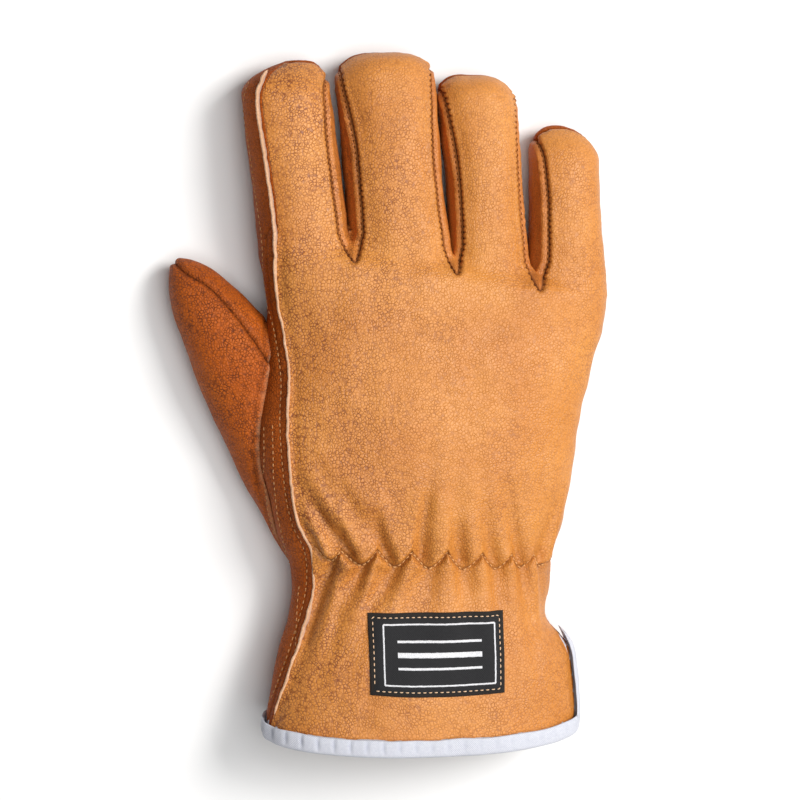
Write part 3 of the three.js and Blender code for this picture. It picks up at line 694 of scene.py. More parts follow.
@dataclass
class Patch:
    """A piece of surface: points, their normals and triangles."""

    points: Array
    normals: Array
    faces: Array

    def edges(self) -> tuple[Array, Array]:
        """Every edge once, and the three edges of each face."""
        pairs = np.sort(self.faces[:, [0, 1, 1, 2, 2, 0]].reshape(-1, 2), axis=1)
        code = pairs[:, 0] * np.int64(len(self.points)) + pairs[:, 1]
        _, first, inverse = np.unique(code, return_index=True, return_inverse=True)
        return pairs[first], inverse.reshape(-1, 3)

    def compact(self) -> "Patch":
        """The same patch without points that no face uses."""
        used = np.unique(self.faces)
        number = np.full(len(self.points), -1)
        number[used] = np.arange(len(used))
        return Patch(self.points[used], self.normals[used], number[self.faces])

    def with_middles(self, chosen: Array, edges: Array, share: Array) -> tuple[Array, Array, Array]:
        """Points and normals with one new point on each chosen edge, and the new points' numbers.

        Args:
            chosen: the chosen edges' numbers.
            edges: every edge's two points.
            share: how far along its edge each new point lies.

        Returns:
            The points, the normals and each edge's new point, or -1.
        """
        a, b = edges[chosen].T
        t = share[:, None]
        points = np.vstack([self.points, self.points[a] * (1 - t) + self.points[b] * t])
        normals = np.vstack([self.normals, self.normals[a] * (1 - t) + self.normals[b] * t])
        number = np.full(len(edges), -1)
        number[chosen] = len(self.points) + np.arange(len(a))
        return points, normals, number

    def turned(self, marks: Array, middles: Array) -> Iterator[tuple[Array, Array, Array]]:
        """The faces with each of their corners first in turn.

        Args:
            marks: three marks per face, one for each edge.
            middles: three new points per face, one for each edge.

        Yields:
            The faces, their marks and their new points in the turned order.
        """
        for turn in range(3):
            order = [turn, (turn + 1) % 3, (turn + 2) % 3]
            yield self.faces[:, order], marks[:, order], middles[:, order]

    def refined(self, target: Field) -> "Patch":
        """The patch with the edges that are longer than the target length halved once.

        Args:
            target: the edge length wanted at a point.

        Returns:
            The finer patch.
        """
        edges, of_face = self.edges()
        a, b = self.points[edges[:, 0]], self.points[edges[:, 1]]
        long = np.linalg.norm(a - b, axis=1) > target((a + b) / 2)
        chosen = np.flatnonzero(long)
        points, normals, number = self.with_middles(chosen, edges, np.full(len(chosen), 0.5))
        marks = long[of_face]
        kind = marks.sum(axis=1)
        made = [self.faces[kind == 0]]
        for face, mark, middle in self.turned(marks, number[of_face]):
            one = (kind == 1) & mark[:, 0]
            v, m = face[one], middle[one]
            made += [np.c_[v[:, 0], m[:, 0], v[:, 2]], np.c_[m[:, 0], v[:, 1], v[:, 2]]]
            two = (kind == 2) & mark[:, 0] & mark[:, 1]
            v, m = face[two], middle[two]
            made += [
                np.c_[m[:, 0], v[:, 1], m[:, 1]],
                np.c_[v[:, 0], m[:, 0], m[:, 1]],
                np.c_[v[:, 0], m[:, 1], v[:, 2]],
            ]
        all_three = kind == 3
        v, m = self.faces[all_three], number[of_face[all_three]]
        made += [
            np.c_[v[:, 0], m[:, 0], m[:, 2]],
            np.c_[m[:, 0], v[:, 1], m[:, 1]],
            np.c_[m[:, 2], m[:, 1], v[:, 2]],
            m,
        ]
        return Patch(points, normals, np.concatenate(made))

    def split(self, field: Field, snap: float = 0.35) -> tuple["Patch", "Patch"]:
        """Cuts the patch where a field is 0.

        Args:
            field: a value for each point.
            snap: points nearer to the cut than this share of an edge move onto it.

        Returns:
            The part where the field is below 0 and the part where it is above.
        """
        values = field(self.points)
        edges, of_face = self.edges()
        a, b = edges.T
        crossed = values[a] * values[b] < 0
        t = np.where(crossed, values[a] / np.where(crossed, values[a] - values[b], 1.0), 0.5)
        closeness = np.minimum(t, 1 - t)
        near = np.flatnonzero(crossed & (closeness < snap))
        near = near[np.argsort(-closeness[near])]
        moving = np.where(t[near] < 0.5, a[near], b[near])
        share = t[near][:, None]
        points = self.points.copy()
        points[moving] = self.points[a[near]] * (1 - share) + self.points[b[near]] * share
        values[moving] = 0.0
        crossed = values[a] * values[b] < 0
        chosen = np.flatnonzero(crossed)
        share = values[a[chosen]] / (values[a[chosen]] - values[b[chosen]])
        base = Patch(points, self.normals, self.faces)
        points, normals, number = base.with_middles(chosen, edges, share)
        marks = crossed[of_face]
        kind = marks.sum(axis=1)
        sign = np.sign(values)
        whole = self.faces[kind == 0]
        total = sign[whole].sum(axis=1)
        level = np.flatnonzero(total == 0)
        if len(level):
            total[level] = field(points[whole[level]].mean(axis=1))
        sides = {-1: [whole[total < 0]], 1: [whole[total >= 0]]}
        for face, mark, middle in self.turned(marks, number[of_face]):
            one = (kind == 1) & mark[:, 1]
            v, m = face[one], middle[one][:, 1]
            for side in (-1, 1):
                first = sign[v[:, 1]] == side
                sides[side] += [np.c_[v[:, 0], v[:, 1], m][first], np.c_[v[:, 0], m, v[:, 2]][~first]]
            two = (kind == 2) & mark[:, 0] & mark[:, 2]
            v, m = face[two], middle[two]
            for side in (-1, 1):
                alone = sign[v[:, 0]] == side
                sides[side].append(np.c_[v[:, 0], m[:, 0], m[:, 2]][alone])
                sides[side] += [
                    np.c_[m[:, 0], v[:, 1], v[:, 2]][~alone],
                    np.c_[m[:, 0], v[:, 2], m[:, 2]][~alone],
                ]
        return tuple(Patch(points, normals, np.concatenate(sides[side])).compact() for side in (-1, 1))

    def above(self, field: Field) -> "Patch":
        """The part of the patch where a field is above 0."""
        return self.split(field)[1]

    def largest(self) -> "Patch":
        """The patch's largest connected part."""
        label = np.arange(len(self.points))
        while True:
            low = label[self.faces].min(axis=1)
            before = label.copy()
            for i in range(3):
                np.minimum.at(label, self.faces[:, i], low)
            label = label[label]
            if np.array_equal(label, before):
                break
        names, sizes = np.unique(label[self.faces[:, 0]], return_counts=True)
        keep = label[self.faces[:, 0]] == names[np.argmax(sizes)]
        return Patch(self.points, self.normals, self.faces[keep]).compact()

    def rim(self) -> Array:
        """The edges with a face on one side only, in the faces' direction."""
        edges, of_face = self.edges()
        uses = np.bincount(of_face.ravel(), minlength=len(edges))
        directed = self.faces[:, [0, 1, 1, 2, 2, 0]].reshape(-1, 3, 2)
        return directed[uses[of_face] == 1]

    def measured_normals(self) -> Array:
        """Unit normals of the patch's own faces at its points."""
        a, b, c = (self.points[self.faces[:, i]] for i in range(3))
        face = np.cross(b - a, c - a)
        total = np.zeros_like(self.points)
        for i in range(3):
            np.add.at(total, self.faces[:, i], face)
        return total / np.maximum(np.linalg.norm(total, axis=1, keepdims=True), 1e-9)


@dataclass
class Skin:
    """Makes a closed skin from a distance field: a net, relaxed and drawn onto the surface."""

    distance: Field
    low: tuple[float, float, float]
    high: tuple[float, float, float]
    step: float
    coarse: int = 4
    furthest: float = 1.5
    slope_step: float = 0.1

    def drawn(self, points: Array, times: int = 2) -> Array:
        """The points moved onto the surface.

        Args:
            points: one point per row.
            times: how often they are moved.

        Returns:
            The moved points.
        """
        for _ in range(times):
            at = self.distance(points)
            slope = np.zeros_like(points)
            for axis in range(3):
                moved = points.copy()
                moved[:, axis] += self.slope_step
                slope[:, axis] = (self.distance(moved) - at) / self.slope_step
            size = np.maximum((slope**2).sum(axis=1), 0.25)
            points = points - np.clip(at / size, -self.furthest, self.furthest)[:, None] * slope
        return points

    def make(self) -> Patch:
        """The skin as a patch of triangles."""
        low, every = np.array(self.low), self.coarse
        counts = np.ceil((np.array(self.high) - low) / self.step).astype(int) + 1
        axes = [low[i] + self.step * np.arange(counts[i]) for i in range(3)]
        coarse = [np.arange(0, n, every) for n in counts]
        coarse = [np.unique(np.r_[index, n - 1]) for index, n in zip(coarse, counts)]
        grid = np.stack(np.meshgrid(*[axes[i][coarse[i]] for i in range(3)], indexing="ij"), axis=-1)
        rough = self.distance(grid.reshape(-1, 3)).reshape(grid.shape[:3])
        nearest = [(np.arange(n) + every // 2) // every for n in counts]
        nearest = [np.clip(index, 0, len(c) - 1) for index, c in zip(nearest, coarse)]
        values = rough[np.ix_(*nearest)]
        close = np.flatnonzero(np.abs(values).ravel() < every * self.step + 3.0)
        where = np.unravel_index(close, values.shape)
        points = np.stack([axes[i][where[i]] for i in range(3)], axis=1)
        flat = values.ravel()
        flat[close] = self.distance(points)
        points, quads = surface_nets(flat.reshape(values.shape), low, self.step)
        faces = np.concatenate([quads[:, [0, 1, 2]], quads[:, [0, 2, 3]]])
        patch = Patch(points, np.zeros_like(points), faces)
        for _ in range(2):
            patch.points = self.drawn(self.relaxed(patch), 1)
        return patch

    @staticmethod
    def relaxed(patch: Patch) -> Array:
        """The points moved halfway to the middle of their neighbours.

        Args:
            patch: the patch to relax.

        Returns:
            The moved points.
        """
        edges, _ = patch.edges()
        total = np.zeros_like(patch.points)
        count = np.zeros(len(patch.points))
        for a, b in (edges.T, edges.T[::-1]):
            np.add.at(total, a, patch.points[b])
            np.add.at(count, a, 1)
        return (patch.points + total / np.maximum(count, 1)[:, None]) / 2


def polyline_distance(points: Array, line: Sequence[Sequence[float]]) -> Array:
    """The distance in plan from each point to a line of straight stretches.

    Args:
        points: one point per row.
        line: the line's corners.

    Returns:
        Each point's distance.
    """
    ends = np.asarray(line, float)[:, :2]
    best = np.full(len(points), 1e9)
    for a, b in zip(ends[:-1], ends[1:]):
        along = b - a
        t = np.clip(((points[:, :2] - a) @ along) / (along @ along), 0.0, 1.0)
        best = np.minimum(best, np.linalg.norm(points[:, :2] - a - t[:, None] * along, axis=1))
    return best


def soft_noise(points: Array, size: float, seed: int, waves: int = 14) -> Array:
    """A smooth random height of about -1 to 1 that varies over the given size.

    Args:
        points: one point per row.
        size: the typical width of a hump.
        seed: the random draw's seed.
        waves: how many waves are summed.

    Returns:
        The height at each point.
    """
    random = np.random.default_rng(seed)
    direction = random.normal(size=(waves, 3))
    turns = (2 * math.pi / size) * random.uniform(0.6, 1.4, (waves, 1))
    direction *= turns / np.linalg.norm(direction, axis=1, keepdims=True)
    phase = random.uniform(0, 2 * math.pi, waves)
    return np.sin(points @ direction.T + phase).sum(axis=1) / math.sqrt(waves)


@dataclass
class Seams:
    """Where the glove's panels meet."""

    form: GloveForm
    fork_nose: float = 10.0
    fork_point: float = 0.72
    flare: float = 0.2
    flare_start: float = 0.5
    vent_length: float = 29.5
    vent_gap: float = 2.6
    vent_corner: float = 5.5
    turn_under: float = 16.5

    def __post_init__(self) -> None:
        """Turns the raised seam's tables into curves along Y."""
        hand, index = self.form.hand, self.form.fingers[0]
        rows = []
        for row in WELT_ON_HAND:
            y = row.along * hand.length
            rows.append((y, float(hand.centre(y) + row.across * hand.half(y))))
        for row in WELT_ON_INDEX:
            y = index.y + row.along * index.length
            rows.append((y, float(index.middle_line(y) + row.across * index.half(y))))
        self.welt_x = Curve([y for y, _ in rows], [x for _, x in rows])
        self.welt_end = index.y + index.length - 4.0
        self.beside_welt = Curve([y for y, _ in BESIDE_WELT], [away for _, away in BESIDE_WELT])
        places = np.arange(-76.0, index.y + index.length + 4.0, 0.5)
        self.welt_z = Curve(places, self.heights(self.welt_x(places), places))

    def heights(self, x: Array, y: Array) -> Array:
        """The height of the glove's upper skin over places in plan.

        Args:
            x: places across.
            y: places along Y.

        Returns:
            The height at each place.
        """
        low, high = self.form.hand.middle(y)[0], np.full(len(x), 60.0)
        for _ in range(24):
            mid = (low + high) / 2
            inside = self.form.distance(np.c_[x, y, mid]) < 0
            low, high = np.where(inside, mid, low), np.where(inside, high, mid)
        return (low + high) / 2

    def parting(self, points: Array) -> Array:
        """Above 0 on the back panel and below 0 on the palm panel.

        Args:
            points: one point per row.

        Returns:
            The field at each point.
        """
        x, y, z = points.T
        side = self.form.hand.side(y)
        top = self.welt_z(y)
        share = np.clip((x - self.welt_x(y)) / self.turn_under, 0.0, 1.0)
        return z - (top + (side - top) * share)

    def fork_sides(self, i: int, y: Array) -> tuple[Array, Array]:
        """The places across of the two seams of the strip between fingers i and i + 1.

        Args:
            i: the finger's number, 0 for the index finger.
            y: places along Y.

        Returns:
            The left seam's and the right seam's places.
        """
        sides = []
        for finger, share in ((self.form.fingers[i], "right"), (self.form.fingers[i + 1], "left")):
            along = np.minimum((y - finger.y) / finger.length, 1.0)
            flare = 1.0 + self.flare * smoothstep(along, self.flare_start, 1.0)
            sides.append(finger.middle_line(y) + getattr(finger, share) * flare * finger.half(y))
        return sides[0], sides[1]

    def fork_start(self, i: int) -> float:
        """The place along Y of the strip's pointed end."""
        left, right = self.form.fingers[i], self.form.fingers[i + 1]
        x = (left.x + left.width / 2 + right.x - right.width / 2) / 2
        return float(self.form.hand.knuckle_line(x)) + left.fork

    def fork_strip(self, i: int, y: Array) -> tuple[Array, Array]:
        """The middle and the half width of the strip between fingers i and i + 1, which starts as a point."""
        start = self.fork_start(i)
        a, b = self.fork_sides(i, np.maximum(y, start))
        reach = np.clip((y - start) / self.fork_nose, 0.0, 1.0)
        return (a + b) / 2, (b - a) / 2 * reach**self.fork_point

    def fork(self, i: int, points: Array) -> Array:
        """Above 0 outside the strip between fingers i and i + 1."""
        y = points[:, 1]
        middle, wide = self.fork_strip(i, y)
        return np.abs(points[:, 0] - middle) - wide + np.maximum(self.fork_start(i) - y, 0.0)

    def webs(self, points: Array) -> Array:
        """Which points lie where two fingers part, at the bottom of the gap between them.

        Args:
            points: one point per row.

        Returns:
            True for the points that do.
        """
        y = points[:, 1]
        found = np.zeros(len(points), bool)
        for i in range(3):
            start = self.fork_start(i)
            middle, _ = self.fork_strip(i, y)
            found |= (np.abs(points[:, 0] - middle) < 3.0) & (y > start - 2.0) & (y < start + 16.0)
        return found

    def hem(self, points: Array) -> Array:
        """Above 0 on the glove's side of the hem, whose corners at the vent are rounded.

        Args:
            points: one point per row.

        Returns:
            The field at each point.
        """
        hand = self.form.hand
        y = hand.station(points)
        above = y + hand.cuff_length
        beside = np.abs(points[:, 2] - hand.side(y)) - self.vent_gap / 2
        beside = np.where((points[:, 0] > hand.centre(y)) & (above < self.vent_length / 2), beside, 99.0)
        a, b = self.vent_corner - beside, self.vent_corner - above
        inside = np.hypot(np.maximum(a, 0.0), np.maximum(b, 0.0)) + np.minimum(np.maximum(a, b), 0.0)
        return self.vent_corner - inside

    def vent(self, points: Array) -> Array:
        """Above 0 outside the slit in the cuff's little-finger side, which has a round end.

        Args:
            points: one point per row.

        Returns:
            The field at each point.
        """
        hand = self.form.hand
        y = hand.station(points)
        past = np.maximum(y - (self.vent_length - self.vent_gap / 2 - hand.cuff_length), 0.0)
        beside = np.hypot(points[:, 2] - hand.side(y), past) - self.vent_gap / 2
        return np.where(points[:, 0] > hand.centre(y), beside, 99.0)

    @staticmethod
    def gather_line(x: Array) -> Array:
        """The place along Y of the gathers' stitch line: round tongues with pointed peaks between them.

        Args:
            x: places across.

        Returns:
            The line's place along Y at each place.
        """
        at = [tuck.x for tuck in GATHER_LINE]
        place = np.interp(x, at, np.arange(len(at)))
        y = np.array([tuck.y for tuck in GATHER_LINE])
        i = np.clip(place.astype(int), 0, len(at) - 2)
        t = place - i
        low_first = y[i] < y[i + 1]
        rise = np.where(low_first, t, 1.0 - t)
        low, high = np.minimum(y[i], y[i + 1]), np.maximum(y[i], y[i + 1])
        return low + (high - low) * rise**1.45

    def fork_seams(self) -> list[Array]:
        """The seams of the strips between the fingers in plan, each from its fork to the fingertip."""
        lines = []
        for i in range(3):
            start = self.fork_start(i)
            for side in (0, 1):
                finger = self.form.fingers[i + side]
                y = np.arange(start + 0.3, finger.y + finger.length - 4.0, 0.35)
                middle, wide = self.fork_strip(i, y)
                lines.append(np.c_[middle + (wide if side else -wide), y])
        return lines

    def gather(self, points: Array) -> Array:
        """How far each point lies above the gathers' stitch line, along Y."""
        return points[:, 1] - self.gather_line(points[:, 0])


@dataclass
class Panel:
    """One leather panel: its patch with the painted shade of its grooves and folds and the paleness of its
    edges.
    """

    name: str
    patch: Patch
    groove: Array
    pale: Array

    @classmethod
    def plain(cls, name: str, patch: Patch) -> "Panel":
        """A panel with no relief yet."""
        zero = np.zeros(len(patch.points))
        return cls(name, patch, zero, zero.copy())

    def raise_by(self, height: Array) -> None:
        """Moves the skin out along its normals by a height."""
        self.patch.points = self.patch.points + self.patch.normals * height[:, None]

    def edge_distance(self, chosen: Field, reach: float = 9.0) -> Array:
        """The distance from each point to the panel's rim where the rim's points are chosen.

        Args:
            chosen: which of the rim's points count.
            reach: how far from them distances are measured.

        Returns:
            The distance of each point, 99 where it is out of reach.
        """
        rim = np.unique(self.patch.rim())
        places = self.patch.points[rim][chosen(self.patch.points[rim])]
        found = np.full(len(self.patch.points), 99.0)
        if not len(places):
            return found
        tree = KDTree(len(places))
        for i, place in enumerate(places):
            tree.insert(place, i)
        tree.balance()
        low, high = places.min(axis=0) - reach, places.max(axis=0) + reach
        close = np.flatnonzero(((self.patch.points > low) & (self.patch.points < high)).all(axis=1))
        for i in close:
            found[i] = tree.find(self.patch.points[i])[2]
        return found


@dataclass
class Relief:
    """Presses folds, gathers and seam edges into the panels and paints shade into their hollows."""

    seams: Seams
    free_end: float = 8.0
    crease_fade: float = 11.0
    above_floor: float = 0.05

    def edges(self, panel: Panel) -> tuple[Array, Array, Array]:
        """Each point's distance to the panel's edge at the forks, at the raised seam and along its side.

        Args:
            panel: the panel to measure.

        Returns:
            The three distances of each point.
        """
        seams = self.seams

        def at_fork(p: Array) -> Array:
            """Which points lie on a strip's seam."""
            return np.min([np.abs(seams.fork(i, p)) for i in range(3)], axis=0) < 0.15

        def at_welt(p: Array) -> Array:
            """Which points lie on the raised seam."""
            return (np.abs(p[:, 0] - seams.welt_x(p[:, 1])) < 0.6) & (p[:, 2] > 14.0)

        def at_side(p: Array) -> Array:
            """Which points lie where back and palm meet, away from the raised seam."""
            return (np.abs(seams.parting(p)) < 0.3) & (p[:, 0] > seams.welt_x(p[:, 1]) + 6.0)

        return tuple(panel.edge_distance(chosen) for chosen in (at_fork, at_welt, at_side))

    @staticmethod
    def seam_edge(panel: Panel, distance: Array, sink: float, puff: float) -> None:
        """A turned seam: the edge dips into the seam and the leather beside it puffs up.

        Args:
            panel: the panel to press.
            distance: each point's distance to the seam.
            sink: how deep the edge dips.
            puff: how high the leather puffs up.
        """
        pucker = 0.5 + 0.5 * soft_noise(panel.patch.points, 3.4, 5)
        height = -sink * bump(distance, 0.0, 0.75)
        height += puff * (0.75 + 0.35 * pucker) * bump(distance, 2.0, 1.2)
        height -= 0.1 * pucker * bump(distance, 1.0, 0.7)
        panel.raise_by(height)
        # Painted shade: the colour darkens along the seam line and faintly beside it.
        panel.groove = np.maximum(panel.groove, 0.8 * bump(distance, 0.0, 0.5))
        panel.groove = np.maximum(panel.groove, 0.22 * bump(distance, 0.0, 2.0))

    def puckers(self, panel: Panel) -> None:
        """The small dents where each stitch of the fingers' seams pulls the leather down.

        Args:
            panel: the panel to press.
        """
        points = panel.patch.points
        for line in self.seams.fork_seams():
            length = np.r_[0.0, np.cumsum(np.linalg.norm(np.diff(line, axis=0), axis=1))]
            y = points[:, 1]
            x = np.interp(y, line[:, 1], line[:, 0])
            slope = np.interp(y, line[:, 1], np.gradient(line[:, 0], line[:, 1]))
            away = np.abs(points[:, 0] - x) / np.sqrt(1.0 + slope**2)
            inside = (y > line[0, 1]) & (y < line[-1, 1]) & (away < 3.0) & (points[:, 2] > 14.0)
            phase = np.interp(y, line[:, 1], length) / SEAM_STITCH.pitch
            pull = np.clip(np.cos(2 * math.pi * phase), 0.0, 1.0) * inside
            panel.raise_by(-0.5 * pull * bump(away, 0.45, 0.55))
            # Painted shade in each stitch's dent.
            panel.groove = np.maximum(panel.groove, 0.95 * pull * bump(away, 0.45, 0.5))

    @staticmethod
    def row_of_stitches(panel: Panel, distance: Array, at: Array) -> None:
        """The shallow furrow that a row of topstitches draws beside a seam."""
        panel.raise_by(-0.26 * bump(distance, at, 0.5) + 0.16 * bump(distance, at - 1.5, 0.8))
        # Painted shade along the furrow.
        panel.groove = np.maximum(panel.groove, 0.4 * bump(distance, at, 0.45))

    def crease(self, panel: Panel, crease: Crease, upper: Array) -> None:
        """One crease of the back, with a soft swelling at each side.

        Args:
            panel: the panel to press.
            crease: the crease's line, depth and width.
            upper: how much of the relief each point gets.
        """
        distance = polyline_distance(panel.patch.points, crease.line)
        dip = bump(distance, 0.0, crease.width)
        swell = bump(distance, 2.0 * crease.width, crease.width)
        for end in (crease.line[0], crease.line[-1]):
            if abs(end[1] - float(self.seams.gather_line(np.array([end[0]]))[0])) > self.free_end:
                away = np.hypot(*(panel.patch.points[:, :2] - end).T)
                upper = upper * smoothstep(away, 0.0, self.crease_fade)
        panel.raise_by((0.35 * crease.depth * swell - crease.depth * dip) * upper)
        # Painted shade along the crease's hollow.
        shade = 0.3 * min(crease.depth, 1.0) * bump(distance, 0.0, 0.6 * crease.width)
        panel.groove = np.maximum(panel.groove, shade * upper)

    def gathers(self, panel: Panel, upper: Array) -> None:
        """The wrist's gathers: a zigzag stitch line with tongues above it and pleats below.

        Args:
            panel: the panel to press.
            upper: how much of the relief each point gets.
        """
        points = panel.patch.points.copy()
        above = self.seams.gather(points)
        line = bump(np.abs(above), 0.0, 1.15)
        rise = np.zeros(len(points))
        fold = np.zeros(len(points))
        both = ((PLEATS_ABOVE, 1, 12.0, 2.2), (PLEATS_BELOW, -1, 15.0, 1.9))
        for pleats, side, reach, height in both:
            away = np.clip(above * side, 0.0, None)
            lean = np.interp(points[:, 0], [p.x for p in pleats], [p.lean for p in pleats])
            foot = points[:, 0] - lean * away * side
            phase = np.interp(foot, [p.x for p in pleats], np.arange(len(pleats)))
            wave = -np.cos(2 * math.pi * phase)
            shape = np.sign(wave) * np.abs(wave) ** 0.8
            fade = np.exp(-away / reach) * (1.0 - np.exp(-away / 1.6)) * (above * side > 0)
            rise += shape * height * fade
            deep = np.clip(-wave, 0.0, 1.0) ** 4 * np.exp(-away / 7.0)
            fold = np.maximum(fold, deep * (above * side > 0))
        rise += 0.7 * np.exp(-np.clip(above, 0.0, None) / 2.4) * smoothstep(above, 0.0, 0.9)
        rise -= 1.3 * line
        panel.raise_by(rise * upper)
        # Painted shade along the gathers' stitch line and in the deep folds beside it.
        panel.groove = np.maximum(panel.groove, 0.75 * bump(np.abs(above), 0.0, 0.7) * upper)
        panel.groove = np.maximum(panel.groove, 0.4 * fold * upper)

    @staticmethod
    def unevenness(panel: Panel) -> None:
        """The leather's soft unevenness over a few centimetres and over its grain's clumps."""
        points = panel.patch.points
        panel.raise_by(0.34 * soft_noise(points, 38.0, 11) + 0.13 * soft_noise(points, 13.0, 12))

    def back(self, panel: Panel) -> None:
        """All of the back panel's relief.

        Args:
            panel: the panel to press.
        """
        points = panel.patch.points.copy()
        seams = self.seams
        forks, welt, side = self.edges(panel)
        upper = smoothstep(points[:, 2], 12.0, 22.0)
        near_welt = smoothstep(points[:, 0] - seams.welt_x(points[:, 1]), 0.5, 6.0)
        self.unevenness(panel)
        self.gathers(panel, upper * (0.35 + 0.65 * near_welt))
        for crease in BACK_CREASES:
            self.crease(panel, crease, upper)
        self.seam_edge(panel, forks, 0.95, 0.42)
        self.puckers(panel)
        self.seam_edge(panel, side, 0.7, 0.3)
        panel.raise_by(0.35 * bump(welt, 0.0, 1.4) - 0.15 * bump(welt, 2.4, 1.4))

    def palm(self, panel: Panel) -> None:
        """All of the palm panel's relief.

        Args:
            panel: the panel to press.
        """
        forks, welt, side = self.edges(panel)
        self.unevenness(panel)
        self.seam_edge(panel, forks, 0.8, 0.25)
        self.seam_edge(panel, side, 0.7, 0.3)
        panel.raise_by(0.35 * bump(welt, 0.0, 1.4))
        self.row_of_stitches(panel, welt, 1.15 * self.seams.beside_welt(panel.patch.points[:, 1]))
        self.keep_above_floor(panel)

    def fourchette(self, panel: Panel) -> None:
        """The relief of a strip between two fingers.

        Args:
            panel: the panel to press.
        """
        edge = panel.edge_distance(lambda p: np.ones(len(p), bool))
        self.unevenness(panel)
        self.seam_edge(panel, edge, 0.45, 0.6)
        deep = smoothstep(edge, 2.6, 6.0) * smoothstep(panel.patch.points[:, 2], 10.0, 24.0)
        panel.raise_by(-0.3 * deep)
        # Painted shade over the strip's sunken middle, deep in the gap between the fingers.
        panel.groove = np.maximum(panel.groove, 0.12 * deep)
        self.keep_above_floor(panel)

    def thumb(self, panel: Panel, form: ThumbForm) -> None:
        """The relief of one half of the thumb.

        Args:
            panel: the panel to press.
            form: the thumb's form.
        """
        seam = panel.edge_distance(lambda p: np.abs(form.seam(p)) < 0.25)
        base = panel.edge_distance(lambda p: np.abs(form.seam(p)) >= 0.25)
        self.unevenness(panel)
        self.seam_edge(panel, seam, 0.85, 0.35)
        lap = 0.5 * bump(base, 0.9, 0.9) - 0.35 * bump(base, 2.9, 0.6) + 0.3 * bump(base, 5.0, 1.4)
        panel.raise_by(lap)
        # Painted shade in the dip beside the thumb's lapped base seam.
        panel.groove = np.maximum(panel.groove, 0.5 * bump(base, 2.9, 0.5))
        panel.pale = np.maximum(panel.pale, 0.55 * bump(base, 0.35, 0.5))
        self.keep_above_floor(panel)

    def keep_above_floor(self, panel: Panel) -> None:
        """No part of a panel goes under the surface that the glove lies on."""
        panel.patch.points[:, 2] = np.maximum(panel.patch.points[:, 2], self.above_floor)


def to_part_frame(points: Array) -> Array:
    """Millimetres in the hand's frame as metres in the part's frame."""
    return (np.asarray(points, float) + FRAME_SHIFT) * MM


def new_object(
    name: str, points: Array, faces: Array, material: bpy.types.Material, smooth: bool = True
) -> bpy.types.Object:
    """A mesh object in the part's frame.

    Args:
        name: the object's name.
        points: its points in the hand's frame, in millimetres.
        faces: its faces, all with as many corners.
        material: its first material.
        smooth: whether its faces are shaded smoothly.

    Returns:
        The object, linked to the scene.
    """
    mesh = bpy.data.meshes.new(name)
    size = faces.shape[1]
    mesh.vertices.add(len(points))
    mesh.vertices.foreach_set("co", to_part_frame(points).astype(np.float32).ravel())
    mesh.loops.add(faces.size)
    mesh.loops.foreach_set("vertex_index", faces.astype(np.int32).ravel())
    mesh.polygons.add(len(faces))
    mesh.polygons.foreach_set("loop_start", np.arange(0, faces.size, size, dtype=np.int32))
    mesh.polygons.foreach_set("loop_total", np.full(len(faces), size, np.int32))
    mesh.update(calc_edges=True)
    mesh.validate()
    mesh.polygons.foreach_set("use_smooth", np.full(len(mesh.polygons), smooth))
    mesh.materials.append(material)
    made = bpy.data.objects.new(name, mesh)
    bpy.context.scene.collection.objects.link(made)
    return made


def set_attribute(made: bpy.types.Object, name: str, values: Array) -> None:
    """Stores one number per point, for the material to read."""
    layer = made.data.attributes.new(name, "FLOAT", "POINT")
    layer.data.foreach_set("value", np.asarray(values, np.float32))


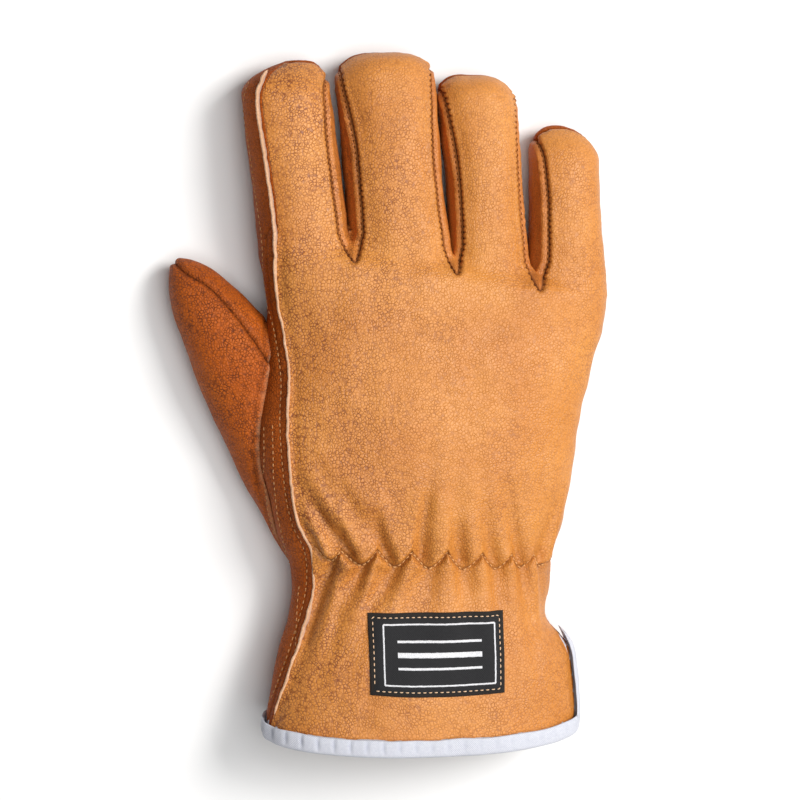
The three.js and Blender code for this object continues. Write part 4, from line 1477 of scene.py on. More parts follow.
class Nodes:
    """Short calls for building a material's nodes."""

    def __init__(self, name: str) -> None:
        """Starts a material with a shader and its output.

        Args:
            name: the material's name.
        """
        self.material = bpy.data.materials.new(name)
        self.material.use_nodes = True
        self.tree = self.material.node_tree
        self.tree.nodes.clear()
        self.shader = self.add("ShaderNodeBsdfPrincipled")
        output = self.add("ShaderNodeOutputMaterial")
        self.join(self.shader.outputs["BSDF"], output.inputs["Surface"])
        self.place = self.add("ShaderNodeTexCoord").outputs["Object"]

    def add(self, kind: str, **settings: str) -> bpy.types.Node:
        """A new node with its plain settings."""
        node = self.tree.nodes.new(kind)
        for key, value in settings.items():
            setattr(node, key, value)
        return node

    def join(self, start: Socket, end: Socket) -> None:
        """Links one socket to another."""
        self.tree.links.new(start, end)

    def noise(self, size_mm: float, detail: float = 3.0, rough: float = 0.55, distort: float = 0.0) -> Socket:
        """Noise with features of a size, as a value around 0.5.

        Args:
            size_mm: the features' size.
            detail: its finer layers.
            rough: how strong the finer layers are.
            distort: how far it swirls.

        Returns:
            The value.
        """
        node = self.add("ShaderNodeTexNoise")
        self.join(self.place, node.inputs["Vector"])
        node.inputs["Scale"].default_value = 1.0 / (size_mm * MM)
        node.inputs["Detail"].default_value = detail
        node.inputs["Roughness"].default_value = rough
        node.inputs["Distortion"].default_value = distort
        return node.outputs["Fac"]

    def cells(self, size_mm: float, warp_share: float = 0.45) -> Socket:
        """Uneven cells of a size, as the distance to their edges.

        Args:
            size_mm: the cells' size.
            warp_share: how far they are bent, as a share of it.

        Returns:
            The distance, as a share of the size.
        """
        warp = self.add("ShaderNodeVectorMath", operation="MULTIPLY_ADD")
        wobble = self.add("ShaderNodeTexNoise")
        self.join(self.place, wobble.inputs["Vector"])
        wobble.inputs["Scale"].default_value = 0.55 / (size_mm * MM)
        wobble.inputs["Detail"].default_value = 2.0
        self.join(wobble.outputs["Color"], warp.inputs[0])
        warp.inputs[1].default_value = (size_mm * MM * warp_share,) * 3
        self.join(self.place, warp.inputs[2])
        node = self.add("ShaderNodeTexVoronoi", feature="DISTANCE_TO_EDGE")
        self.join(warp.outputs["Vector"], node.inputs["Vector"])
        node.inputs["Scale"].default_value = 1.0 / (size_mm * MM)
        return node.outputs["Distance"]

    def math(self, operation: str, a: Socket | float, b: Socket | float = 0.0) -> Socket:
        """One sum on values or sockets.

        Args:
            operation: the sum's name.
            a: the first value.
            b: the second value, if any.

        Returns:
            The result.
        """
        node = self.add("ShaderNodeMath", operation=operation)
        for socket, value in zip(node.inputs, (a, b)):
            if isinstance(value, (int, float)):
                socket.default_value = value
            else:
                self.join(value, socket)
        return node.outputs[0]

    def ramp(self, value: Socket, low: float, high: float, start: float = 0.0, end: float = 1.0) -> Socket:
        """A value stretched from one range to another and kept inside it.

        Args:
            value: the value.
            low: what becomes the start.
            high: what becomes the end.
            start: the result at low.
            end: the result at high.

        Returns:
            The stretched value.
        """
        node = self.add("ShaderNodeMapRange")
        self.join(value, node.inputs["Value"])
        for key, number in (("From Min", low), ("From Max", high), ("To Min", start), ("To Max", end)):
            node.inputs[key].default_value = number
        return node.outputs["Result"]

    def mix(self, share: Socket, a: Socket | Colour, b: Socket | Colour) -> Socket:
        """Two colours mixed by a share.

        Args:
            share: how much of the second colour.
            a: the first colour.
            b: the second colour.

        Returns:
            The mixed colour.
        """
        node = self.add("ShaderNodeMix", data_type="RGBA")
        factor, first, second = node.inputs["Factor"], node.inputs[6], node.inputs[7]
        for socket, value in ((factor, share), (first, a), (second, b)):
            if isinstance(value, tuple):
                socket.default_value = (*value, 1.0)
            else:
                self.join(value, socket)
        return node.outputs[2]

    def attribute(self, name: str) -> Socket:
        """A number stored on the mesh's points."""
        return self.add("ShaderNodeAttribute", attribute_name=name).outputs["Fac"]

    def bump(
        self, height: Socket, distance_mm: float, strength: float = 1.0, under: Socket | None = None
    ) -> Socket:
        """A bump of a height in millimetres, on top of another one.

        Args:
            height: the height.
            distance_mm: the height that 1 stands for.
            strength: how strong it is.
            under: the bump that it lies on.

        Returns:
            The normal.
        """
        node = self.add("ShaderNodeBump")
        node.inputs["Strength"].default_value = strength
        node.inputs["Distance"].default_value = distance_mm * MM
        self.join(height, node.inputs["Height"])
        if under is not None:
            self.join(under, node.inputs["Normal"])
        return node.outputs["Normal"]


@dataclass(frozen=True)
class LeatherFinish:
    """Pebbled grain leather with a satin sheen."""

    name: str
    light: Colour
    dark: Colour
    crack: Colour
    pale: Colour = (0.6, 0.33, 0.18)
    grain: float = 1.1
    grain_height: float = 0.11
    roughness: float = 0.5
    contrast: float = 0.85
    shine: float = 0.55

    def make(self) -> bpy.types.Material:
        """Builds the material."""
        n = Nodes(self.name)
        broad = n.ramp(n.noise(34.0, 4.0, 0.6), 0.34, 0.66)
        colour = n.mix(broad, self.dark, self.light)
        colour = n.mix(n.ramp(n.noise(6.0, 3.0, 0.6), 0.3, 0.7, 0.0, 0.22), colour, self.dark)
        edge = n.cells(self.grain)
        patchy = n.ramp(n.noise(1.9, 2.0), 0.33, 0.6, 0.25, 1.0)
        pit = n.math("MULTIPLY", n.ramp(edge, 0.02, 0.2, 1.0, 0.0), patchy)
        crack_patches_and_left_shade = n.ramp(n.noise(22.0, 3.0), 0.35, 0.65, 0.45, 1.0)
        # Painted shade: the grain's dark pits are drawn stronger towards the thumb's side (object X below -4
        # cm) and weaker towards the little finger, where the key light falls; the noise is the grain's random
        # patchiness.
        across = n.add("ShaderNodeSeparateXYZ")
        n.join(n.place, across.inputs[0])
        crack_patches_and_left_shade = n.math("MULTIPLY", crack_patches_and_left_shade, n.ramp(across.outputs["X"], -0.04, 0.02, 1.7, 0.7))
        colour = n.mix(n.math("MULTIPLY", n.math("MULTIPLY", pit, crack_patches_and_left_shade), self.contrast), colour, self.crack)
        # Painted shade: the seams, creases and folds marked by the groove attribute are darkened.
        groove = n.attribute("groove")
        colour = n.mix(n.math("MULTIPLY", groove, 0.85), colour, tuple(c * 0.5 for c in self.crack))
        colour = n.mix(n.attribute("pale"), colour, self.pale)
        n.join(colour, n.shader.inputs["Base Color"])
        dome = n.math("POWER", n.ramp(edge, 0.0, 0.42), 0.6)
        pebble = n.math("SUBTRACT", dome, n.math("MULTIPLY", pit, 0.5))
        normal = n.bump(n.noise(0.45, 2.0), 0.04)
        normal = n.bump(pebble, self.grain_height, 0.8, normal)
        normal = n.bump(n.noise(3.2, 3.0, 0.6), 0.25, 0.6, normal)
        n.join(normal, n.shader.inputs["Normal"])
        rough = n.ramp(n.noise(12.0, 3.0), 0.3, 0.7, self.roughness - 0.05, self.roughness + 0.07)
        rough = n.math("MAXIMUM", rough, n.ramp(groove, 0.0, 0.5, 0.0, 0.98))
        n.join(rough, n.shader.inputs["Roughness"])
        n.shader.inputs["Specular IOR Level"].default_value = self.shine
        return n.material


@dataclass(frozen=True)
class RawFinish:
    """The cut edge of leather, or the flesh side: pale and fibrous."""

    name: str
    light: Colour
    dark: Colour

    def make(self) -> bpy.types.Material:
        """Builds the material."""
        n = Nodes(self.name)
        fibre = n.noise(0.9, 5.0, 0.7, 0.6)
        colour = n.mix(n.ramp(fibre, 0.3, 0.7), self.dark, self.light)
        colour = n.mix(n.ramp(n.noise(9.0, 2.0), 0.35, 0.7, 0.0, 0.35), colour, self.dark)
        n.join(colour, n.shader.inputs["Base Color"])
        n.join(n.bump(fibre, 0.3), n.shader.inputs["Normal"])
        n.shader.inputs["Roughness"].default_value = 0.9
        n.shader.inputs["Sheen Weight"].default_value = 0.25
        return n.material


@dataclass(frozen=True)
class ThreadFinish:
    """Twisted sewing thread."""

    name: str
    colour: Colour
    shade: Colour
    sheen: float = 0.1
    shine: float = 0.2

    def make(self) -> bpy.types.Material:
        """Builds the material."""
        n = Nodes(self.name)
        twist = n.noise(0.35, 2.0)
        n.join(n.mix(n.ramp(twist, 0.35, 0.65), self.shade, self.colour), n.shader.inputs["Base Color"])
        n.join(n.bump(twist, 0.1), n.shader.inputs["Normal"])
        n.shader.inputs["Roughness"].default_value = 0.75
        n.shader.inputs["Specular IOR Level"].default_value = self.shine
        n.shader.inputs["Sheen Weight"].default_value = self.sheen
        return n.material


@dataclass(frozen=True)
class WeaveFinish:
    """A close woven fabric; its threads run along the mesh's UVs, which are in millimetres."""

    name: str
    light: Colour
    dark: Colour
    thread: float
    depth: float = 0.12
    sheen: float = 0.2

    def make(self) -> bpy.types.Material:
        """Builds the material."""
        n = Nodes(self.name)
        split = n.add("ShaderNodeSeparateXYZ")
        n.join(n.add("ShaderNodeTexCoord").outputs["UV"], split.inputs[0])
        turn = 2 * math.pi / self.thread
        u = n.math("MULTIPLY", split.outputs["X"], turn)
        v = n.math("MULTIPLY", split.outputs["Y"], turn)
        weave = n.math("MULTIPLY", n.math("SINE", u), n.math("SINE", v))
        weave = n.ramp(weave, -1.0, 1.0)
        fuzz = n.noise(0.8, 4.0, 0.7)
        shade = n.math("ADD", n.math("MULTIPLY", weave, 0.55), n.math("MULTIPLY", fuzz, 0.6))
        colour = n.mix(n.ramp(shade, 0.25, 0.85), self.dark, self.light)
        # Painted shade in the dents marked by the groove attribute.
        colour = n.mix(n.math("MULTIPLY", n.attribute("groove"), 0.85), colour, self.dark)
        n.join(colour, n.shader.inputs["Base Color"])
        normal = n.bump(fuzz, 0.15)
        n.join(n.bump(weave, self.depth, 0.8, normal), n.shader.inputs["Normal"])
        n.shader.inputs["Roughness"].default_value = 0.85
        n.shader.inputs["Sheen Weight"].default_value = self.sheen
        n.shader.inputs["Sheen Roughness"].default_value = 0.4
        return n.material


class Finishes:
    """Every material of the glove, made once."""

    def __init__(self) -> None:
        """Makes the leathers, the cut edge, the cloths and the threads."""
        crack, deep = (0.23, 0.057, 0.007), (0.14, 0.028, 0.004)
        back = LeatherFinish("back leather", (0.68, 0.27, 0.05), (0.58, 0.205, 0.031), crack)
        self.back = back.make()
        strip = {"name": "strip leather", "light": (0.7, 0.25, 0.045), "dark": (0.6, 0.19, 0.03)}
        self.strip = replace(back, grain=0.95, **strip).make()
        # The palm and thumb leathers are darker, redder copies of the tan leather: partly their own tone and
        # partly painted shade of the glove's left side, which faces away from the key light.
        palm = LeatherFinish(
            "palm leather", (0.45, 0.098, 0.008), (0.35, 0.067, 0.004), deep,
            contrast=0.6, roughness=0.62, shine=0.15, grain_height=0.17,
        )
        self.palm = palm.make()
        # The thumb leather is darker and redder partly as its own tone and partly as painted shade of the
        # left side.
        thumb = {"name": "thumb leather", "light": (0.52, 0.115, 0.007), "dark": (0.42, 0.082, 0.004)}
        self.thumb = replace(palm, contrast=0.7, roughness=0.58, shine=0.25, **thumb).make()
        self.flesh = RawFinish("flesh side", (0.5, 0.36, 0.25), (0.4, 0.27, 0.18)).make()
        self.raw = RawFinish("cut edge", (0.8, 0.52, 0.34), (0.52, 0.27, 0.13)).make()
        self.tape = WeaveFinish("binding tape", (0.72, 0.725, 0.77), (0.44, 0.46, 0.55), 0.7).make()
        cloth = WeaveFinish("woven patch", (0.016, 0.016, 0.018), (0.004, 0.004, 0.005), 0.8, sheen=0.05)
        self.label = cloth.make()
        edge = {"name": "patch border", "light": (0.02, 0.013, 0.009), "dark": (0.004, 0.003, 0.002)}
        self.border = replace(cloth, **edge).make()
        self.white = ThreadFinish("white yarn", (0.86, 0.86, 0.88), (0.6, 0.6, 0.63)).make()
        self.tan_thread = ThreadFinish("tan thread", (0.6, 0.3, 0.12), (0.36, 0.14, 0.04)).make()
        dark = ThreadFinish("dark thread", (0.2, 0.055, 0.01), (0.1, 0.024, 0.004), 0.0, 0.02)
        self.dark_thread = dark.make()
        self.gold_thread = ThreadFinish("gold thread", (0.8, 0.44, 0.17), (0.5, 0.22, 0.07)).make()
        self.peach_thread = ThreadFinish("peach thread", (0.9, 0.66, 0.45), (0.7, 0.42, 0.24)).make()


@dataclass
class Leather:
    """Cuts the skin into panels, presses their relief and makes them into closed leather pieces."""

    seams: Seams
    finishes: Finishes
    thumb: ThumbForm = field(default_factory=ThumbForm)
    thickness: float = 1.5
    hole_inset: float = 2.4
    step: float = 1.45
    web_smoothing: int = 14
    fine: float = 0.48
    middling: float = 0.95
    plain: float = 2.4

    def __post_init__(self) -> None:
        """Lays the work out."""
        self.form = self.seams.form
        self.relief = Relief(self.seams)
        self.panels: dict[str, Panel] = {}

    def detail(self, points: Array) -> Array:
        """The edge length wanted at each point: short beside the seams and gathers.

        Args:
            points: one point per row.

        Returns:
            The length at each point.
        """
        seams = self.seams
        beneath = np.where(points[:, 2] < 12.0, 9.0, 0.0)
        closeness = np.abs(points[:, 0] - seams.welt_x(points[:, 1])) + beneath
        for i in range(3):
            hidden = np.where(points[:, 2] < 11.0, 2.2, 0.0)
            closeness = np.minimum(closeness, np.abs(seams.fork(i, points)) + hidden)
        gather = np.abs(seams.gather(points)) * 0.8 + np.where(points[:, 2] < 16.0, 9.0, 0.0)
        closeness = np.minimum(closeness, gather)
        return np.where(closeness < 1.7, self.fine, np.where(closeness < 3.6, self.middling, self.plain))

    def body(self) -> Patch:
        """The hand's and fingers' skin with the fingers together."""
        skin = Skin(self.form.distance, (-84.0, -76.0, -3.6), (88.0, 198.0, 49.0), self.step)
        patch = skin.make()
        log.info("skin: %d points", len(patch.points))
        for _ in range(3):
            before = len(patch.points)
            patch = patch.refined(lambda p: self.detail(self.form.closed(p)))
            patch.points[before:] = skin.drawn(patch.points[before:], 2)
        patch.points = self.form.closed(patch.points)
        webs = self.seams.webs(patch.points)
        for _ in range(self.web_smoothing):
            patch.points[webs] = Skin.relaxed(patch)[webs]
        patch.normals = patch.measured_normals()
        log.info("refined skin: %d points", len(patch.points))
        return patch

    def cut_body(self, patch: Patch) -> None:
        """Cuts the skin into the back, the palm and the strips between the fingers.

        Args:
            patch: the whole skin.
        """
        patch = patch.above(self.seams.hem).largest()
        patch = patch.above(self.seams.vent)
        patch = patch.above(lambda p: self.thumb.distance(p) + self.hole_inset).largest()
        names = [finger.name for finger in self.form.fingers]
        for i in range(3):
            strip, patch = patch.split(lambda p, i=i: self.seams.fork(i, p))
            name = f"fourchette_{names[i]}_{names[i + 1]}"
            self.panels[name] = Panel.plain(name, strip)
        palm, back = patch.split(self.seams.parting)
        self.panels["palm_panel"] = Panel.plain("palm_panel", palm)
        self.panels["back_panel"] = Panel.plain("back_panel", back)

    def cut_thumb(self) -> None:
        """Makes the thumb's skin and cuts it into its two halves."""
        skin = Skin(self.thumb.distance, (-96.0, -12.0, -3.6), (-12.0, 122.0, 30.0), self.step)
        patch = skin.make()
        before = len(patch.points)
        patch = patch.refined(lambda p: np.where(np.abs(self.thumb.seam(p)) < 3.0, 0.8, 2.4))
        patch.points[before:] = skin.drawn(patch.points[before:], 2)
        patch.normals = patch.measured_normals()
        patch = patch.above(lambda p: self.form.distance(p) - 0.1).largest()
        outer, inner = patch.split(self.thumb.seam)
        self.panels["thumb_outer"] = Panel.plain("thumb_outer", outer.largest())
        self.panels["thumb_inner"] = Panel.plain("thumb_inner", inner.largest())

    def press(self) -> None:
        """Gives each panel its relief."""
        for name, panel in self.panels.items():
            if name == "back_panel":
                self.relief.back(panel)
            elif name == "palm_panel":
                self.relief.palm(panel)
            elif name.startswith("thumb"):
                self.relief.thumb(panel, self.thumb)
            else:
                self.relief.fourchette(panel)
            log.info("%s: %d triangles outside", name, len(panel.patch.faces))

    def close(self, panel: Panel) -> bpy.types.Object:
        """A closed piece of leather: the grain side, the flesh side and the cut edge between them.

        Args:
            panel: the pressed panel.

        Returns:
            The piece, dressed in its finishes, with the model's part of the same name hidden.
        """
        patch = panel.patch
        count = len(patch.points)
        inner = patch.points - patch.normals * self.thickness
        inner[:, 2] = np.maximum(inner[:, 2], self.thickness * 0.8)
        rim = patch.rim()
        a, b = rim.T
        band = np.concatenate([np.c_[b, a, a + count], np.c_[b, a + count, b + count]])
        faces = np.concatenate([patch.faces, patch.faces[:, ::-1] + count, band])
        kind = panel.name.split("_")[0]
        grains = {"back": self.finishes.back, "thumb": self.finishes.thumb, "fourchette": self.finishes.strip}
        grain = grains.get(kind, self.finishes.palm)
        made = new_object(f"leather_{panel.name}", np.vstack([patch.points, inner]), faces, grain)
        made.data.materials.append(self.finishes.flesh)
        slots = np.zeros(len(faces), np.int32)
        slots[len(patch.faces) : 2 * len(patch.faces)] = 1
        if len(made.data.polygons) == len(faces):
            made.data.polygons.foreach_set("material_index", slots)
        # The cut band at the rim is painted darker towards the flesh side: painted shade where the edge turns
        # into the seam.
        turned = np.zeros(count)
        turned[rim] = 1.0
        set_attribute(made, "groove", np.r_[panel.groove, turned])
        set_attribute(made, "pale", np.r_[panel.pale, np.zeros(count)])
        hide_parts(panel.name)
        return made

    def build(self) -> list[bpy.types.Object]:
        """Makes every leather panel."""
        self.cut_body(self.body())
        self.cut_thumb()
        self.press()
        return [self.close(panel) for panel in self.panels.values()]


class Surface:
    """A finished surface as a thing to sew on."""

    TOP = 90.0

    def __init__(self, points: Array, faces: Array) -> None:
        """Sorts the surface's faces, so that places on it are found quickly."""
        self.tree = BVHTree.FromPolygons(points.tolist(), faces.tolist())

    @classmethod
    def of_panels(cls, panels: Sequence[Panel]) -> "Surface":
        """The grain side of all the panels together."""
        starts = np.cumsum([0] + [len(panel.patch.points) for panel in panels])
        faces = [panel.patch.faces + start for panel, start in zip(panels, starts)]
        return cls(np.concatenate([panel.patch.points for panel in panels]), np.concatenate(faces))

    def drop(self, x: float, y: float) -> tuple[Vector, Vector] | None:
        """The place and normal of the skin under a place in plan."""
        place, normal, _, _ = self.tree.ray_cast(Vector((x, y, self.TOP)), Vector((0, 0, -1)))
        return None if place is None else (place, normal)

    def nearest(self, point: Sequence[float]) -> tuple[Vector, Vector]:
        """The nearest place of the skin and its normal."""
        place, normal, _, _ = self.tree.find_nearest(Vector(point))
        return place, normal


def walk(line: Array, pitch: float) -> Array:
    """Points at an even pitch along a line of points."""
    steps = np.linalg.norm(np.diff(line, axis=0), axis=1)
    length = np.r_[0.0, np.cumsum(steps)]
    at = np.arange(0.0, length[-1], pitch)
    return np.stack([np.interp(at, length, line[:, i]) for i in range(line.shape[1])], axis=1)


@dataclass
class Sewing:
    """Rows of stitches, each a short bowed length of thread with six sides."""

    surface: Surface
    sides: int = 6
    rings: tuple[float, ...] = (-0.5, -0.42, -0.2, 0.2, 0.42, 0.5)
    swell: tuple[float, ...] = (0.25, 0.8, 1.0, 1.0, 0.8, 0.25)
    bow: float = 4.6

    def rows(
        self, name: str, lines: Sequence[Array], kind: Stitch, material: bpy.types.Material, sink: float
    ) -> bpy.types.Object:
        """One object of stitches along lines of points that lie near the skin.

        Args:
            name: the object's name.
            lines: the lines to sew along.
            kind: the stitches' sizes.
            material: the thread's finish.
            sink: how far the thread's middle lies under the skin, as a share of its radius.

        Returns:
            The stitches as one mesh.
        """
        angles = 2 * math.pi * np.arange(self.sides) / self.sides
        points, quads = [], []
        for line in lines:
            places = walk(np.asarray(line, float), kind.pitch / 4)
            for i in range(2, len(places) - 2, 4):
                place, normal = self.surface.nearest(places[i])
                tangent = Vector(places[i + 2] - places[i - 2])
                side = normal.cross(tangent)
                if side.length < 1e-6:
                    continue
                side.normalize()
                tangent = side.cross(normal).normalized()
                start = len(points) * self.sides
                for along, swell in zip(self.rings, self.swell):
                    bow = kind.radius * (0.7 - self.bow * along**2 - sink)
                    centre = np.array(place + tangent * (along * kind.length) + normal * bow)
                    ring = np.outer(np.cos(angles), side) + np.outer(np.sin(angles), normal)
                    points.append(centre + ring * kind.radius * swell)
                for r in range(len(self.rings) - 1):
                    for s in range(self.sides):
                        a, b = start + r * self.sides + s, start + r * self.sides + (s + 1) % self.sides
                        quads.append((a, b, b + self.sides, a + self.sides))
                last = start + (len(self.rings) - 1) * self.sides
                quads += [(start, start + 3, start + 2, start + 1), (start, start + 5, start + 4, start + 3)]
                quads += [(last, last + 1, last + 2, last + 3), (last, last + 3, last + 4, last + 5)]
        return new_object(name, np.concatenate(points), np.array(quads), material)


@dataclass
class Threads:
    """Every visible row of stitches on the leather."""

    leather: Leather
    surface: Surface
    row_start: float = -54.0
    row_step: float = 0.8

    def __post_init__(self) -> None:
        """Threads the needle."""
        self.sewing = Sewing(self.surface)

    def dropped(self, x: Array, y: Array) -> Array:
        """A line in plan laid on the skin."""
        found = [self.surface.drop(float(a), float(b)) for a, b in zip(x, y)]
        return np.array([place[0] for place in found if place is not None])

    def fork_lines(self) -> list[Array]:
        """The seams of the strips between the fingers, laid on the back."""
        return [self.dropped(line[:, 0], line[:, 1]) for line in self.leather.seams.fork_seams()]

    def beside_welt(self) -> list[Array]:
        """The rows of topstitches on the palm's side of the raised seam."""
        seams = self.leather.seams
        y = np.arange(self.row_start, seams.welt_end - 3.0, self.row_step)
        lines = [self.dropped(seams.welt_x(y) - seams.beside_welt(y), y)]
        for row in PALM_ROWS:
            fine = walk(np.array(row), self.row_step)
            lines.append(self.dropped(fine[:, 0], fine[:, 1]))
        return lines

    def thumb_line(self) -> list[Array]:
        """The thumb's long seam."""
        thumb = self.leather.thumb
        along = np.linspace(0.5, 0.96, 160)
        half = thumb.width_at(along) * thumb.width / 2
        across = thumb.offset_at(along) * thumb.width + thumb.seam_at(along) * half
        x, y = thumb.plan(along * thumb.length, across)
        inside = x < self.leather.seams.welt_x(y) - 4.0
        return [self.dropped(x[inside], y[inside])]

    def build(self, finishes: Finishes) -> list[bpy.types.Object]:
        """Sews every row.

        Args:
            finishes: the glove's materials.

        Returns:
            The rows' objects.
        """
        x = np.arange(GATHER_LINE[1].x, GATHER_LINE[-1].x, 0.4)
        fine = walk(np.c_[x, self.leather.seams.gather_line(x)], 0.5)
        gathers = [self.dropped(fine[:, 0], fine[:, 1])]
        rows = self.sewing.rows
        made = [
            rows("stitches_fingers", self.fork_lines(), SEAM_STITCH, finishes.dark_thread, 0.5),
            rows("stitches_gathers", gathers, GATHER_STITCH, finishes.gold_thread, -0.4),
            rows("stitches_welt", self.beside_welt(), TOP_STITCH, finishes.tan_thread, 0.2),
            rows("stitches_thumb", self.thumb_line(), SEAM_STITCH, finishes.dark_thread, 1.2),
        ]
        return made


@dataclass
class Welt:
    """The raised cut edge along the index-side seam."""

    seams: Seams
    surface: Surface
    width: float = 0.82
    height: float = 1.2
    start: float = -52.5
    profile: tuple[tuple[float, float], ...] = (
        (-0.5, -0.8), (-0.52, 0.35), (-0.4, 0.8), (-0.16, 0.97), (0.0, 0.88), (0.16, 1.0), (0.42, 0.78),
        (0.52, 0.3), (0.5, -0.8),
    )

    def build(self, finishes: Finishes) -> bpy.types.Object:
        """Makes the strip as a loft along the seam.

        Args:
            finishes: the glove's materials.

        Returns:
            The strip.
        """
        y = np.arange(self.start, self.seams.welt_end, 0.6)
        base = np.c_[self.seams.welt_x(y), y, self.seams.welt_z(y)]
        normals = np.array([self.surface.nearest(point)[1] for point in base])
        for _ in range(6):
            normals[1:-1] = (normals[:-2] + normals[1:-1] + normals[2:]) / 3
        normals /= np.linalg.norm(normals, axis=1, keepdims=True)
        side = np.cross(np.gradient(base, axis=0), normals)
        side /= np.linalg.norm(side, axis=1, keepdims=True)
        waver = (0.14 * soft_noise(base, 7.0, 31) + 0.07 * soft_noise(base, 2.6, 34))[:, None]
        height = self.height * (1.0 + 0.16 * soft_noise(base, 4.0, 32))[:, None]
        from_end = np.minimum(np.arange(len(y)), np.arange(len(y))[::-1])
        ends = np.minimum(1.0, from_end / 5.0)[:, None] ** 0.5
        rings = []
        for across, up in self.profile:
            rough = 0.05 * soft_noise(base + across * 9.0, 1.6, 33)[:, None]
            out = across * self.width * ends + waver
            rings.append(base + side * out + normals * (height * up * ends + rough))
        grid = np.stack(rings, axis=1)
        faces = grid_faces(*grid.shape[:2], ring=True)
        made = new_object("welt_cut_edge", grid.reshape(-1, 3), faces, finishes.raw)
        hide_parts("index_seam_welt")
        return made


@dataclass
class Cuff:
    """The cuff's skin unrolled: a place round it, measured from the vent, and a place along it."""

    hand: HandForm
    surface: Surface
    count: int = 720
    below_hem: float = 4.0
    above_hem: float = 45.0
    sunk: float = 1.2
    raised: float = 1.5

    def __post_init__(self) -> None:
        """Measures the cuff's outline at each millimetre along it."""
        angles = np.linspace(-math.pi, math.pi, self.count + 1)
        hem_at = -self.hand.cuff_length
        self.low = hem_at - self.below_hem
        self.stations = np.arange(self.low, hem_at + self.above_hem, 1.0)
        outlines, lengths = [], []
        for y in self.stations:
            outline = self.outline(float(y), angles)
            step = np.linalg.norm(np.diff(outline, axis=0), axis=1)
            length = np.r_[0.0, np.cumsum(step)]
            length /= length[-1]
            length -= np.interp(self.vent_angle(float(y)), angles, length)
            outlines.append(outline)
            lengths.append(length)
        self.outlines = np.array(outlines)
        hem = self.outline(hem_at, angles)
        self.girth = float(np.linalg.norm(np.diff(hem, axis=0), axis=1).sum())
        self.lengths = np.array(lengths) * self.girth

    def outline(self, y: float, angles: Array) -> Array:
        """The cuff's outline at a station.

        Args:
            y: the station.
            angles: where round the outline.

        Returns:
            One point per angle.
        """
        hand = self.hand
        mid, rise = hand.middle(np.array(y))
        power = 2.0 / float(hand.power(y))
        cos, sin = np.cos(angles), np.sin(angles)
        up = np.sign(sin) * np.abs(sin) ** power
        x = float(hand.centre(y)) + np.sign(cos) * np.abs(cos) ** power * float(hand.half(y))
        z = np.maximum(mid + up * rise, float(hand.rest(y)))
        return np.c_[x, y - float(hand.lean(y)) * up, z]

    def vent_angle(self, y: float) -> float:
        """The angle of the vent's middle at a station."""
        mid, rise = self.hand.middle(np.array(y))
        share = np.clip((float(self.hand.side(y)) - mid) / rise, -1.0, 1.0)
        return float(np.sign(share) * math.asin(abs(share) ** (float(self.hand.power(y)) / 2.0)))

    def place(self, round_by: Array, y: Array) -> Array:
        """Points of the skin at places round and along the cuff.

        Args:
            round_by: places round the cuff, from the vent.
            y: places along it.

        Returns:
            The points.
        """
        at = np.clip(y - self.low, 0.0, len(self.stations) - 1.001)
        i = at.astype(int)
        t = (at - i)[:, None]
        found = []
        for offset in (0, 1):
            rows = i + offset
            low = self.lengths[rows, 0]
            wrapped = low + np.mod(round_by - low, self.girth)
            out = np.empty((len(rows), 3))
            for row in np.unique(rows):
                mine = rows == row
                for axis in range(3):
                    out[mine, axis] = np.interp(wrapped[mine], self.lengths[row], self.outlines[row][:, axis])
            found.append(out)
        return found[0] * (1 - t) + found[1] * t

    def normal(self, round_by: Array, y: Array) -> Array:
        """Outward normals of the skin.

        Args:
            round_by: places round the cuff, from the vent.
            y: places along it.

        Returns:
            One unit normal per place.
        """
        step = 0.4
        a = self.place(round_by + step, y) - self.place(round_by - step, y)
        b = self.place(round_by, y + step) - self.place(round_by, y - step)
        n = np.cross(a, b)
        return n / np.maximum(np.linalg.norm(n, axis=1, keepdims=True), 1e-9)

    def relief(self, round_by: Array, y: Array) -> Array:
        """How far the finished leather stands out from the skin."""
        places, normals = self.place(round_by, y), self.normal(round_by, y)
        found = np.array([self.surface.nearest(place)[0] for place in places])
        return np.clip(((found - places) * normals).sum(axis=1), -self.sunk, self.raised)


